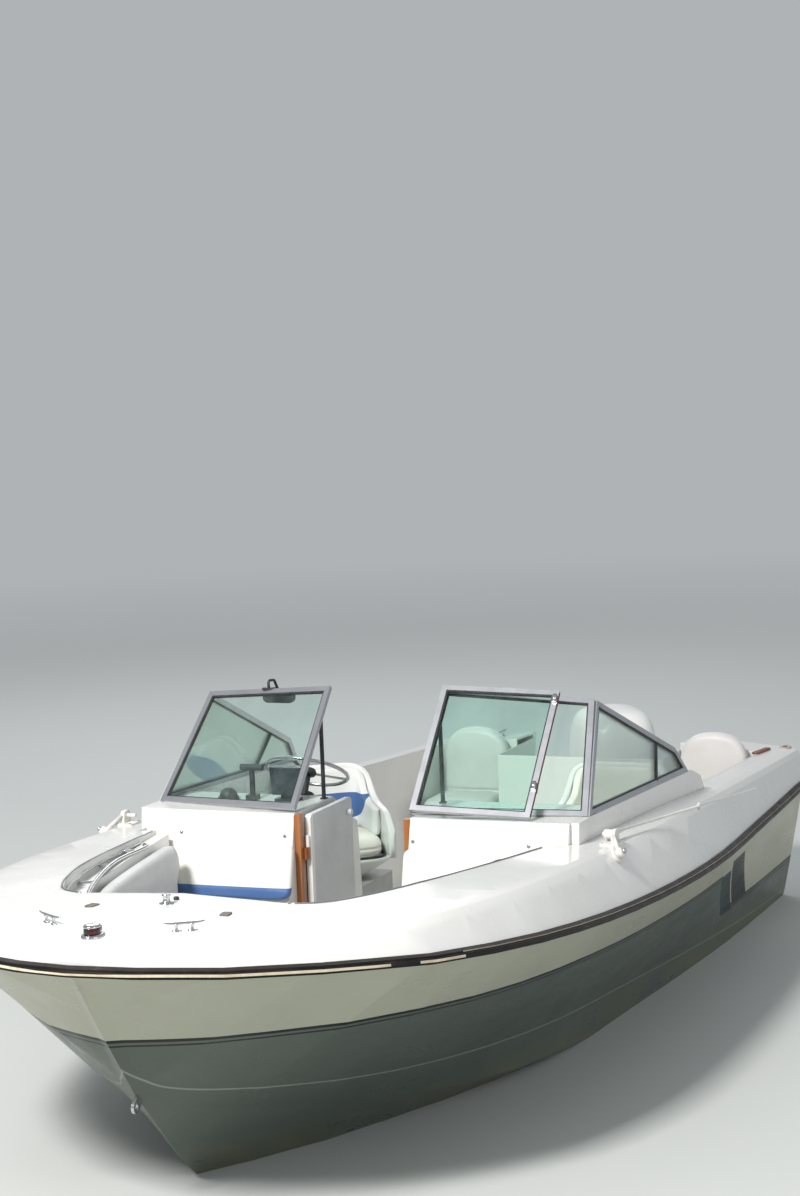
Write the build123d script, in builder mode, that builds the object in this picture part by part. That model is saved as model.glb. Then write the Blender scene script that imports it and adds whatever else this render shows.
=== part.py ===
from build123d import *
from math import atan2, cos, radians, sin, tan
import os

os.makedirs("parts", exist_ok=True)

# Runabout with a walk-through windscreen and an outboard motor, in millimetres
# +X to the bow, +Y to port, +Z up; the origin is amidships on the centreline at the waterline

# Hull and deck, driving sizes
hull_wall = 12.0
deck_wall = 10.0
transom_wall = 48.0
transom_foot_x = -2771.0
transom_rake = 13.0
inner_bow_x = 2880.0
sole_z = 120.0
sole_wall = 18.0
liner_wall = 8.0
seat_gap = 0.3
stem_x = 3058.0
rail_reach = 24.0
rail_half = 21.0
insert_reach = 9.0
insert_half = 9.0
sole_front_x = 2230.0
sole_aft_x = -2700.0
station_step = 330.0
low_z = -900.0
high_z = 1400.0
far_aft_x = -3700.0
wide_half = 1500.0
band_taper = 0.72
crease_round = 34.0
crease_ease = 0.27

# Sections of the hull and its deck, one row a station
# x, keel z, chine y, chine z, knuckle y, knuckle z, rail y, rail z, crease y, crease z, crown z
stations = [
    (-3050, -345, 944, -45, 962, 20, 1030, 572, 1013, 746, 843),
    (-1700, -362, 931, -44, 952, 74, 1128, 604, 1054, 815, 892),
    (-400, -370, 850, -28, 874, 133, 1237, 667, 1122, 901, 962),
    (800, -362, 748, 57, 800, 212, 1251, 749, 1132, 955, 998),
    (1700, -290, 470, 164, 588, 291, 1176, 830, 1062, 998, 1040),
    (2300, 72, 200, 302, 335, 380, 995, 887, 892, 1014, 1052),
    (2500, 282, 64, 330, 150, 418, 858, 909, 742, 1022, 1056),
    (2650, 436, 26, 460, 52, 482, 738, 924, 640, 1026, 1058),
    (2880, 732, 16, 750, 42, 776, 485, 948, 410, 1028, 1052),
    (3000, 898, 10, 912, 30, 924, 220, 962, 185, 1026, 1044),
    (3040, 944, 14, 952, 38, 958, 110, 970, 92, 1024, 1038),
]

# Openings in the deck, half widths at places along the boat
bow_open_points = [(2210, 420), (2150, 540), (1950, 638), (1640, 733), (1200, 815), (600, 900)]
bow_corner_r = 50.0
ledge_z = 948.0
ledge_width = 60.0
console_front_x = 745.0
cockpit_front_x = 60.0
cockpit_half_front = 965.0
cockpit_half_aft = 888.0
cockpit_aft_x = -2650.0
cockpit_corner_r = 60.0
walk_half = 262.0

# Splash well and the motor's cut-out in the transom
well_half = 455.0
well_front_x = -2330.0
well_floor_z = 200.0
well_wall = 8.0
well_top_z = 780.0
cutout_half = 430.0
cutout_z = 285.0

# Consoles and their windscreen
console_in = walk_half
console_out = 955.0
console_top_z = 1040.0
console_face_x = 652.0
console_bend_z = 660.0
panel_front_x = 250.0
panel_aft_x = 90.0
panel_aft_z = 951.0
dash_low_z = 700.0
dash_low_x = 120.0
foot_out = 680.0
foot_aft_x = 430.0
side_wall = 12.0
fairing_in = 915.0
fairing_out = 992.0
fairing_aft_x = -985.0
fairing_aft_z = 976.0
fairing_crest_x = -1140.0
fairing_crest_z = 926.0
fairing_end_x = -1225.0
cushion_in = 285.0
cushion_out = 800.0
cushion_low_z = 690.0
cushion_top_z = 925.0
cushion_wall = 40.0
bench_z = 380.0
bench_aft_x = 800.0
bow_cushion_wall = 80.0
side_rest_wall = 60.0
side_rest_low_z = 600.0
side_rest_top_z = 930.0
front_low_z = 450.0
front_wall = 10.0

# Corners of one raked pane, port side: x, y, z
pane_low_in = (646, 262, 1056)
pane_low_out = (485, 976, 1037)
pane_top_out = (107, 898, 1463)
pane_top_in = (218, 262, 1514)
wing_low_aft = (-951, 980, 975)
wing_low_front = (488, 977, 1036)
wing_top_front = (101, 901, 1459)
wing_top_aft = (-823, 957, 1105)
frame_width = 24.0
frame_depth = 18.0
glass_wall = 5.0
centre_clear = 3.0
hinge_stand = 3.0
hinge_leaf = 6.0
leaf_gap = 0.4
knuckle_start = 12.0
knuckle_end = 40.0
strut_x = 312.0
strut_y = 276.0
strut_r = 9.0
strut_top_z = 1440.0
mirror_seat = 2.0
centre_rest = 183.0

# Door of the walk-through
door_hinge_x = 610.0
door_wall = 26.0
door_length = 440.0
door_top_z = 1025.0
door_foot_gap = 12.0
hinge_levels = (300.0, 840.0)
hinge_length = 50.0
jamb_width = 44.0
jamb_wall = 26.0
door_axis_y = 226.0

# Cleats: name, x, y, turn about the vertical
cleat_length = 145.0
cleat_height = 32.0
cleat_bar = 13.0
cleat_foot_length = 36.0
cleat_foot_width = 20.0
cleat_post_r = 6.5
cleat_spread = 54.0
cleat_table = [
    ("bow_cleats", 2712, 262, -58),
    ("stern_cleats", -2800, 600, 2),
]

# Other fittings of the deck and the stem
bow_light_x = 2882.0
light_base = (52, 39)
light_lens = (35, 29)
light_base_height = 10.0
light_lens_height = 32.0
eye_x = 2622.0
eye_z = 406.0
eye_turn = -45.0
eye_length = 110.0
eye_width = 46.0
eye_wall = 12.0
eye_r = 11.0
rail_r = 11.0
rail_height = 58.0
rail_plan_points = [(960, 812), (1360, 748), (1760, 656), (2090, 535)]
aerial_x = 560.0
aerial_y = 1100.0
aerial_rise = 40.0
aerial_pin_r = 8.0
aerial_drop = 4.2
aerial_splay = 4.5
aerial_length = 1800.0

# Seats: side, place along and across the boat, turn about the upright
seat_table = [
    ("port", -860, 630, 0),
    ("starboard", -580, -640, 40),
]
seat_box_length = 430.0
seat_box_width = 430.0
seat_box_top = 490.0
swivel_r = 95.0
swivel_rise = 20.0
shell_floor_z = 600.0
pedestal_size = 290.0
bucket_length = 500.0
bucket_width = 500.0
bucket_top_z = 995.0
bucket_back_r = 170.0
bucket_wall = 38.0
back_pad_half = 130.0
back_pad_low_z = 712.0
seat_pad_wall = 95.0
bucket_profile = [(-172, 1100), (-130, 890), (-60, 838), (200, 812), (235, 740), (262, 600), (400, 560), (400, 1100)]
jump_y = 657.0
jump_x = -2320.0
jump_width = 376.0
jump_box_top = 445.0
jump_back_top = 888.0
jump_pad_wall = 110.0

# Helm
helm_y = -445.0
wheel_reach = 140.0
wheel_radius = 178.0
control_x = 385.0
control_y = -580.0
compass_x = 400.0
compass_y = -690.0
sounder_x = 375.0
sounder_y = -415.0

# Outboard motor: its steering axis stands behind the transom
steer_x = -3047.0
steer_rest = 32.0
tilt_z = 330.0
tilt_x = -2942.0
prop_z = -560.0
prop_radius = 178.0
cowl_foot_z = 410.0
cowl_top_z = 910.0
tilt_pin_r = 12.0
steer_pin_r = 22.0
plate_z = -360.0
hub_x = steer_x - 235.0


def slope(before, here, after):
    # rise of each column a millimetre of length at one station
    return [(b - a) / (after[0] - before[0]) for a, b in zip(before, after)]


def between(index, share):
    # a station part of the way along a span, on a cubic that runs smoothly through the table
    low, high = stations[index], stations[index + 1]
    span = high[0] - low[0]
    at_low = slope(stations[max(index - 1, 0)], low, high)
    at_high = slope(low, high, stations[min(index + 2, len(stations) - 1)])
    s2, s3 = share**2, share**3
    weights = (2 * s3 - 3 * s2 + 1, s3 - 2 * s2 + share, 3 * s2 - 2 * s3, s3 - s2)
    return [
        weights[0] * a + weights[1] * span * m + weights[2] * b + weights[3] * span * n
        for a, m, b, n in zip(low, at_low, high, at_high)
    ]


def smooth_stations():
    # the table with each long span divided, so that ruled faces follow the curves
    rows = []
    for index in range(len(stations) - 1):
        span = stations[index + 1][0] - stations[index][0]
        steps = max(1, round(span / station_step))
        rows += [between(index, step / steps) for step in range(steps)]
    return rows + [list(stations[-1])]


def hull_points(row, wall):
    keel_z, chine_y, chine_z, knuckle_y, knuckle_z, rail_y, rail_z = row[1:8]
    side = [
        (chine_y - wall, chine_z + wall),
        (knuckle_y - wall, knuckle_z + wall / 3),
        (rail_y - wall, rail_z),
    ]
    other = [(-y, z) for y, z in reversed(side)]
    return [(0, keel_z + 1.6 * wall)] + side + other


def deck_points(row, wall):
    # the crease is rounded by three points, one at the crease itself and one down each slope
    rail_y, rail_z, crease_y, crease_z, crown_z = row[6:11]
    crease = Vector(crease_y, crease_z, 0)
    down = (Vector(rail_y, rail_z, 0) - crease).normalized() * crease_round
    up = (Vector(0, crown_z, 0) - crease).normalized() * crease_round
    arc = [crease + down, crease + (down + up) * crease_ease, crease + up]
    side = [(rail_y - wall, rail_z)] + [(point.X - wall, point.Y - wall) for point in arc]
    other = [(-y, z) for y, z in reversed(side)]
    return side + [(0, crown_z - wall)] + other


def cross_plane(x):
    # a plane across the boat: y to its right and z up
    return Plane(origin=(x, 0, 0), x_dir=(0, 1, 0), z_dir=(1, 0, 0))


def side_plane(y):
    # a plane along the boat: x to its right and z up, its extrusions run to starboard
    return Plane(origin=(0, y, 0), x_dir=(1, 0, 0), z_dir=(0, -1, 0))


def body_loft(rows, points, wall):
    # one smooth body through the outlines of its stations
    with BuildPart() as body:
        for row in rows:
            with BuildSketch(cross_plane(row[0])):
                with BuildLine():
                    Polyline(*points(row, wall), close=True)
                make_face()
        loft(ruled=True)
    return body.part


def plan_shape(outline, radius, inset=0):
    # a plan outline with rounded corners, drawn in by inset
    with BuildSketch() as plan:
        with BuildLine():
            Polyline(*outline, close=True)
        make_face()
        if radius:
            fillet(plan.vertices(), radius)
        if inset:
            offset(amount=-inset, mode=Mode.REPLACE)
    return plan.sketch


def prism(points, z_low, z_high, radius=0, inset=0):
    # an upright block over a plan outline, its upright edges rounded
    with BuildPart() as block:
        with BuildSketch(Plane.XY.offset(z_low)):
            add(plan_shape(points, radius, inset))
        extrude(amount=z_high - z_low)
    return block.part


def ring(outline, radius, inset, wall, z_low, z_high):
    # an upright wall that follows a plan outline
    with BuildPart() as fence:
        with BuildSketch(Plane.XY.offset(z_low)):
            add(plan_shape(outline, radius, inset))
            add(plan_shape(outline, radius, inset + wall), mode=Mode.SUBTRACT)
        extrude(amount=z_high - z_low)
    return fence.part


def slab(points, y_low, y_high, radius=0):
    # a block over a side outline in x and z, its cross edges rounded
    with BuildPart() as block:
        with BuildSketch(side_plane(y_high)) as plan:
            with BuildLine():
                Polyline(*points, close=True)
            make_face()
            if radius:
                fillet(plan.vertices(), radius)
        extrude(amount=y_high - y_low)
    return block.part


def span(x_low, x_high, half):
    # plan corners of an upright block across the centreline
    return [(x_low, -half), (x_low, half), (x_high, half), (x_high, -half)]


def mirrored(points):
    return points + [(x, -y) for x, y in reversed(points)]


def handed(part, side):
    # the port piece itself, or its mirror image to starboard
    if side > 0:
        return part
    with BuildPart() as other:
        add(part)
        mirror(about=Plane.XZ, mode=Mode.REPLACE)
    return other.part


def save(part, name):
    part.label = name
    export_step(part, "parts/" + name + ".step")


def save_pair(part, name):
    # the port piece and its mirror image to starboard, in one node
    with BuildPart() as pair:
        add(part)
        mirror(about=Plane.XZ)
    save(pair.part, name)


def transom_x(z):
    return transom_foot_x - z * tan(radians(transom_rake))


def behind(reach):
    # everything aft of a plane that lies reach ahead of the transom's outer face
    return slab(
        [
            (transom_x(low_z) + reach, low_z),
            (transom_x(high_z) + reach, high_z),
            (far_aft_x, high_z),
            (far_aft_x, low_z),
        ],
        -wide_half,
        wide_half,
    )


rows = smooth_stations()
inner_rows = [row for row in rows if row[0] <= inner_bow_x]
hull_outer = body_loft(rows, hull_points, 0)
hull_inner = body_loft(inner_rows, hull_points, hull_wall)
deck_outer = body_loft(rows, deck_points, 0)
deck_inner = body_loft(inner_rows, deck_points, deck_wall)

behind_transom = behind(0)
behind_inner = behind(transom_wall)
cutout = prism(span(far_aft_x, well_front_x - 200, cutout_half), cutout_z, high_z)
hull_hollow = hull_inner - behind_inner

with BuildPart() as hull:
    add(hull_outer)
    add(behind_transom, mode=Mode.SUBTRACT)
    add(hull_hollow, mode=Mode.SUBTRACT)
    add(cutout, mode=Mode.SUBTRACT)
save(hull.part, "hull")

# Plan outlines of the openings in the deck
bow_outline = mirrored(bow_open_points)
walk_outline = span(cockpit_front_x - 200, console_front_x + 200, walk_half)
cockpit_outline = mirrored([(cockpit_front_x, cockpit_half_front), (cockpit_aft_x, cockpit_half_aft)])
bow_cut = prism(bow_outline, sole_z, high_z, bow_corner_r)
walk_cut = prism(walk_outline, sole_z, high_z)
cockpit_cut = prism(cockpit_outline, sole_z, high_z, cockpit_corner_r)
console_cut = prism(span(cockpit_front_x - 70, console_front_x, console_out), sole_z, high_z)
well_cut = prism(span(far_aft_x, well_front_x, well_half), cutout_z, high_z)

with BuildPart() as deck:
    add(deck_outer)
    add(behind_transom, mode=Mode.SUBTRACT)
    add(deck_inner - behind_inner, mode=Mode.SUBTRACT)
    for opening in (bow_cut, walk_cut, cockpit_cut, console_cut, cutout, well_cut):
        add(opening, mode=Mode.SUBTRACT)
save(deck.part, "deck")


# Rub rail: a band along the rail line, from the transom round the stem
def rail_half_at(x):
    # half width of the rail line at a place along the boat
    for low, high in zip(rows, rows[1:]):
        if low[0] <= x <= high[0]:
            return low[6] + (high[6] - low[6]) * (x - low[0]) / (high[0] - low[0])
    return rows[0][6]


def rail_line():
    # points of the rail line, port side, from the transom to the stem
    rail_z = rows[0][7]
    points = [(transom_x(rail_z), rail_half_at(transom_x(rail_z)), rail_z)]
    points += [(row[0], row[6], row[7]) for row in rows if row[0] > points[0][0]]
    return points + [(stem_x, 0, points[-1][2] + 2)]


def band(inset, reach, half_height):
    # a ruled band on the rail line, standing out from it by reach
    line = rail_line()
    with BuildPart() as strip:
        for index, (x, y, z) in enumerate(line):
            before = line[max(index - 1, 0)]
            after = line[min(index + 1, len(line) - 1)]
            run = Vector(after[0] - before[0], after[1] - before[1], 0).normalized()
            out = Vector(-run.Y, run.X, 0)
            if index == len(line) - 1:
                run = Vector(0, -1, 0)
                out = Vector(1, 0, 0)
            with BuildSketch(Plane(origin=Vector(x, y, z) + out * inset, x_dir=out, z_dir=run)):
                with BuildLine():
                    Polyline(
                        (0, -half_height),
                        (reach, -half_height * band_taper),
                        (reach, half_height * band_taper),
                        (0, half_height),
                        close=True,
                    )
                make_face()
        loft(ruled=True)
        mirror(about=Plane.XZ)
    return strip.part


with BuildPart() as rub_rail:
    add(band(seat_gap, rail_reach, rail_half))
    add(hull_outer, mode=Mode.SUBTRACT)
    add(deck_outer, mode=Mode.SUBTRACT)
save(rub_rail.part, "rub_rail")
save(band(seat_gap + rail_reach, insert_reach, insert_half), "rub_rail_insert")

# Sole, from side to side of the hull
with BuildPart() as sole:
    add(prism(span(sole_aft_x, sole_front_x, wide_half), sole_z - sole_wall, sole_z))
    add(hull_hollow, mode=Mode.INTERSECT)
save(sole.part, "sole")

# Liner of the bow cockpit: a wall under the deck's edge, a ledge and a wall down to the sole
envelope = hull_hollow + (deck_outer - behind_inner)
inner_wall = ledge_width + liner_wall
with BuildPart() as bow_liner:
    add(ring(bow_outline, bow_corner_r, 0, liner_wall, ledge_z - liner_wall, high_z))
    add(ring(bow_outline, bow_corner_r, 0, inner_wall, ledge_z - liner_wall, ledge_z))
    add(ring(bow_outline, bow_corner_r, ledge_width, liner_wall, sole_z, ledge_z))
    add(envelope, mode=Mode.INTERSECT)
    add(prism(span(cockpit_front_x, console_front_x + seat_gap, wide_half), sole_z, high_z), mode=Mode.SUBTRACT)
save(bow_liner.part, "bow_liner")
bow_room = prism(bow_outline, sole_z, high_z, bow_corner_r, inner_wall + seat_gap) & envelope

# Liner of the main cockpit
knee_room = prism(span(cockpit_front_x - 60, cockpit_front_x, cockpit_half_front - 15), sole_z, high_z)
well_room = prism(span(far_aft_x, well_front_x, well_half), well_floor_z, high_z)
with BuildPart() as cockpit_liner:
    add(ring(cockpit_outline, cockpit_corner_r, 0, liner_wall, sole_z, high_z))
    add(envelope, mode=Mode.INTERSECT)
    for opening in (walk_cut, knee_room, well_room):
        add(opening, mode=Mode.SUBTRACT)
save(cockpit_liner.part, "cockpit_liner")

# Splash well: a tray between the jump seats, open aft at the cut-out
with BuildPart() as well:
    add(prism(span(far_aft_x, well_front_x, well_half), well_floor_z, well_top_z))
    tray = span(far_aft_x, well_front_x - well_wall, well_half - well_wall)
    add(prism(tray, well_floor_z + well_wall, high_z), mode=Mode.SUBTRACT)
    add(behind_inner, mode=Mode.SUBTRACT)
save(well.part, "splash_well")

# Consoles: a raked front, a foot down to the sole, a dash and a fairing that runs aft under the wing
front_line = [
    (console_front_x - seat_gap, front_low_z),
    (console_front_x - seat_gap, console_bend_z),
    (console_face_x, console_top_z),
]
front_side = front_line + [(x - front_wall, z) for x, z in reversed(front_line)]
foot_side = [
    (console_front_x - seat_gap, sole_z),
    (console_front_x - seat_gap, console_bend_z),
    (console_front_x - 12, dash_low_z),
    (foot_aft_x, dash_low_z),
    (foot_aft_x + 40, sole_z),
]
dash_side = [
    (console_front_x - 40, dash_low_z),
    (console_face_x, console_top_z),
    (panel_front_x, console_top_z),
    (panel_aft_x, panel_aft_z),
    (dash_low_x - 45, 920),
    (dash_low_x, dash_low_z),
]
wall_side = [
    (console_front_x - seat_gap, sole_z),
    (console_front_x - seat_gap, console_bend_z),
    (console_face_x, console_top_z),
    (panel_front_x, console_top_z),
    (panel_aft_x, 930),
    (-8, 884),
    (-34, 540),
    (-34, sole_z),
]
fairing_side = [
    (660, 820),
    (console_face_x - 15, console_top_z),
    (420, console_top_z - 2),
    (fairing_aft_x, fairing_aft_z),
    (fairing_crest_x, fairing_crest_z),
    (fairing_end_x, 820),
    (fairing_end_x, 700),
    (660, 700),
]
with BuildPart() as console:
    add(slab(fairing_side, fairing_in, fairing_out))
    add(deck_outer, mode=Mode.SUBTRACT)
    add(cockpit_cut, mode=Mode.SUBTRACT)
    add(slab(dash_side, console_in, console_out - seat_gap))
    add(slab(front_side, console_in, console_out - seat_gap))
    add(slab(foot_side, console_in, foot_out))
    add(slab(wall_side, console_in, console_in + side_wall))
save(console.part, "console_port")
save(handed(console.part, -1), "console_starboard")

face_lean = atan2(console_front_x - console_face_x, console_top_z - console_bend_z)

# Bolster cushions on the fronts of the consoles, facing the bow seats
with BuildPart() as console_cushion:
    cushion_plane = Plane(origin=(console_front_x, 0, console_bend_z), x_dir=(0, 1, 0), z_dir=(cos(face_lean), 0, sin(face_lean)))
    with BuildSketch(cushion_plane.offset(seat_gap)):
        with Locations(((cushion_in + cushion_out) / 2, (cushion_low_z + cushion_top_z) / 2 - console_bend_z)):
            RectangleRounded(cushion_out - cushion_in, cushion_top_z - cushion_low_z, 40)
    extrude(amount=cushion_wall)
    add(bow_room, mode=Mode.INTERSECT)
save_pair(console_cushion.part, "bow_backrests")

# Bow seats: benches along the sides, their cushions and a rest along each side wall
bench_plan = [(2090, 150), (2090, 900), (bench_aft_x, 900), (bench_aft_x, 360), (1500, 310)]
with BuildPart() as bow_bench:
    add(prism(bench_plan, sole_z, bench_z))
    add(bow_room, mode=Mode.INTERSECT)
save_pair(bow_bench.part, "bow_benches")
with BuildPart() as bow_cushion:
    add(prism(bench_plan, bench_z + seat_gap, bench_z + bow_cushion_wall))
    add(bow_room, mode=Mode.INTERSECT)
save_pair(bow_cushion.part, "bow_cushions")
with BuildPart() as side_rest:
    add(ring(bow_outline, bow_corner_r, inner_wall + seat_gap, side_rest_wall, side_rest_low_z, side_rest_top_z))
    add(prism([(bench_aft_x, 300), (bench_aft_x, 900), (1960, 900), (1960, 300)], sole_z, high_z), mode=Mode.INTERSECT)
save_pair(side_rest.part, "bow_side_rests")


# Windscreen panes: a frame round a flat outline, with its glass
def pane_part(points, thickness, inset):
    # a flat piece on the pane's plane: the frame itself, or the glass when inset is given
    origin = Vector(*points[0])
    along = Vector(*points[1]) - origin
    up = Vector(*points[-1]) - origin
    face = Plane(origin=origin, x_dir=along, z_dir=along.cross(up).normalized())
    flat = [face.to_local_coords(Vector(*point)) for point in points]
    with BuildPart() as part:
        with BuildSketch(face.offset(-thickness / 2)):
            with BuildLine():
                Polyline(*[(point.X, point.Y) for point in flat], close=True)
            make_face()
            if inset:
                offset(amount=-inset, kind=Kind.INTERSECTION, mode=Mode.REPLACE)
            else:
                offset(amount=-frame_width, kind=Kind.INTERSECTION, mode=Mode.SUBTRACT)
        extrude(amount=thickness)
    return part.part


front_pane = [pane_low_in, pane_low_out, pane_top_out, pane_top_in]
wing_pane = [wing_low_aft, wing_low_front, wing_top_front, wing_top_aft]
glass_inset = frame_width + seat_gap
with BuildPart() as frame_port:
    add(pane_part(front_pane, frame_depth, 0))
    add(pane_part(wing_pane, frame_depth, 0))
    add(prism(span(400, 1200, wide_half), 0, console_top_z + seat_gap), mode=Mode.SUBTRACT)
    add(console.part, mode=Mode.SUBTRACT)
with BuildPart() as glass_port:
    add(pane_part(front_pane, glass_wall, glass_inset))
    add(pane_part(wing_pane, glass_wall, glass_inset))
hinge_low = Vector(*pane_low_in)
hinge_top = Vector(*pane_top_in)
hinge_run = (hinge_top - hinge_low).normalized()
pane_out = Vector(0, 1, 0).cross(hinge_run).normalized()
hinge_point = hinge_low + pane_out * (frame_depth / 2 + hinge_stand)
hinge_length_along = (hinge_top - hinge_low).length


def knuckle(start, length, side):
    # a length of hinge on the port post's axis, its leaf on the post's side or on the pane's
    with BuildPart() as part:
        with BuildSketch(Plane(origin=hinge_point + hinge_run * start, x_dir=(0, 1, 0), z_dir=hinge_run)):
            Circle(hinge_stand - seat_gap)
            with Locations((side * (hinge_leaf / 2 + leaf_gap), hinge_leaf / 2)):
                Rectangle(hinge_leaf, hinge_leaf + hinge_stand)
        extrude(amount=length)
    return part.part


with BuildPart() as hinged_frame_port:
    add(frame_port)
    add(knuckle(knuckle_end, hinge_length_along - 2 * knuckle_end, 1))
save(hinged_frame_port.part, "windscreen_frame_port")
save(handed(frame_port.part, -1), "windscreen_frame_starboard")
save(glass_port.part, "windscreen_glass_port")
save(handed(glass_port.part, -1), "windscreen_glass_starboard")

# Centre pane of the windscreen, hinged on the port post and folded forward over the port pane
centre_axis = Axis(hinge_point, hinge_run)
centre_y = pane_low_in[1] - centre_clear
centre_pane = [
    (pane_low_in[0], -centre_y, pane_low_in[2]),
    (pane_low_in[0], centre_y, pane_low_in[2]),
    (pane_top_in[0], centre_y, pane_top_in[2]),
    (pane_top_in[0], -centre_y, pane_top_in[2]),
]
with BuildPart() as centre_frame:
    add(pane_part(centre_pane, frame_depth, 0))
    add(knuckle(knuckle_start, knuckle_end - knuckle_start - seat_gap, -1))
    add(knuckle(hinge_length_along - knuckle_end + seat_gap, knuckle_end - knuckle_start - seat_gap, -1))
save(centre_frame.part.rotate(centre_axis, centre_rest), "centre_pane_frame")
save(pane_part(centre_pane, glass_wall, glass_inset).rotate(centre_axis, centre_rest), "centre_pane_glass")

# Struts behind the inner posts, down to the consoles
with BuildPart() as strut:
    with BuildSketch(Plane.XY.offset(console_top_z + seat_gap)):
        with Locations((strut_x, strut_y)):
            RectangleRounded(34, 26, 6)
    extrude(amount=6)
    with BuildSketch(Plane.XY.offset(console_top_z + seat_gap)):
        with Locations((strut_x, strut_y)):
            Circle(strut_r)
    extrude(amount=strut_top_z - console_top_z)
    add(frame_port.part, mode=Mode.SUBTRACT)
save_pair(strut.part.solids().sort_by(Axis.Z)[0], "screen_struts")

# Rear-view mirror on an arm clamped to the starboard top rail
share = 0.49
mirror_rail = [a + share * (b - a) for a, b in zip(pane_top_out, pane_top_in)]
mirror_x, mirror_y, mirror_z = mirror_rail[0], -mirror_rail[1], mirror_rail[2]
with BuildPart() as mirror_arm:
    with BuildSketch(Plane.XY.offset(mirror_z + mirror_seat)):
        with Locations((mirror_x, mirror_y)):
            RectangleRounded(30, 60, 8)
    extrude(amount=8)
    with BuildLine() as bend:
        FilletPolyline(
            (mirror_x, mirror_y, mirror_z + mirror_seat),
            (mirror_x + 5, mirror_y, mirror_z + 42),
            (mirror_x - 45, mirror_y + 5, mirror_z + 38),
            (mirror_x - 75, mirror_y + 10, mirror_z - 12),
            radius=14,
        )
    with BuildSketch(Plane(origin=bend.line @ 0, z_dir=bend.line % 0)):
        Circle(6)
    sweep()
    with BuildSketch(cross_plane(mirror_x - 92)):
        with Locations((mirror_y + 10, mirror_z - 38)):
            RectangleRounded(150, 62, 24)
    extrude(amount=24)
    add(handed(frame_port.part, -1), mode=Mode.SUBTRACT)
save(mirror_arm.part, "mirror")

# Walk-through: teak jambs and the door, folded aft along the starboard console
jamb_x = door_hinge_x + 30
with BuildPart() as jamb_port:
    with BuildSketch(Plane.XY.offset(sole_z)):
        with Locations((jamb_x, console_in - jamb_wall / 2 - seat_gap)):
            Rectangle(jamb_width, jamb_wall)
    extrude(amount=console_top_z - 6 - sole_z)
with BuildPart() as jamb_starboard:
    add(handed(jamb_port.part, -1))
    for z in hinge_levels:
        with BuildSketch(Plane.XY.offset(z)):
            with Locations((door_hinge_x, -door_axis_y)):
                Circle(9)
            with Locations((door_hinge_x + 12, -door_axis_y - 8)):
                Rectangle(24, 22)
        extrude(amount=hinge_length)
save(jamb_starboard.part + jamb_port.part, "door_jambs")
with BuildPart() as door:
    with BuildSketch(Plane.XZ.offset(door_axis_y - door_wall / 2)):
        with Locations((door_hinge_x - 10 - door_length / 2, (door_top_z + sole_z + door_foot_gap) / 2)):
            RectangleRounded(door_length, door_top_z - sole_z - door_foot_gap, 18)
    extrude(amount=door_wall)
    for z in hinge_levels:
        with BuildSketch(Plane.XY.offset(z + hinge_length + seat_gap)):
            with Locations((door_hinge_x, -door_axis_y)):
                Circle(9)
            with Locations((door_hinge_x - 8, -door_axis_y)):
                Rectangle(16, 8)
        extrude(amount=hinge_length)
    with BuildSketch(Plane.XZ.offset(door_axis_y - door_wall / 2 - 22)):
        with Locations((door_hinge_x - door_length + 40, door_top_z - 60)):
            Circle(14)
    extrude(amount=22)
save(door.part, "walkthrough_door")

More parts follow.
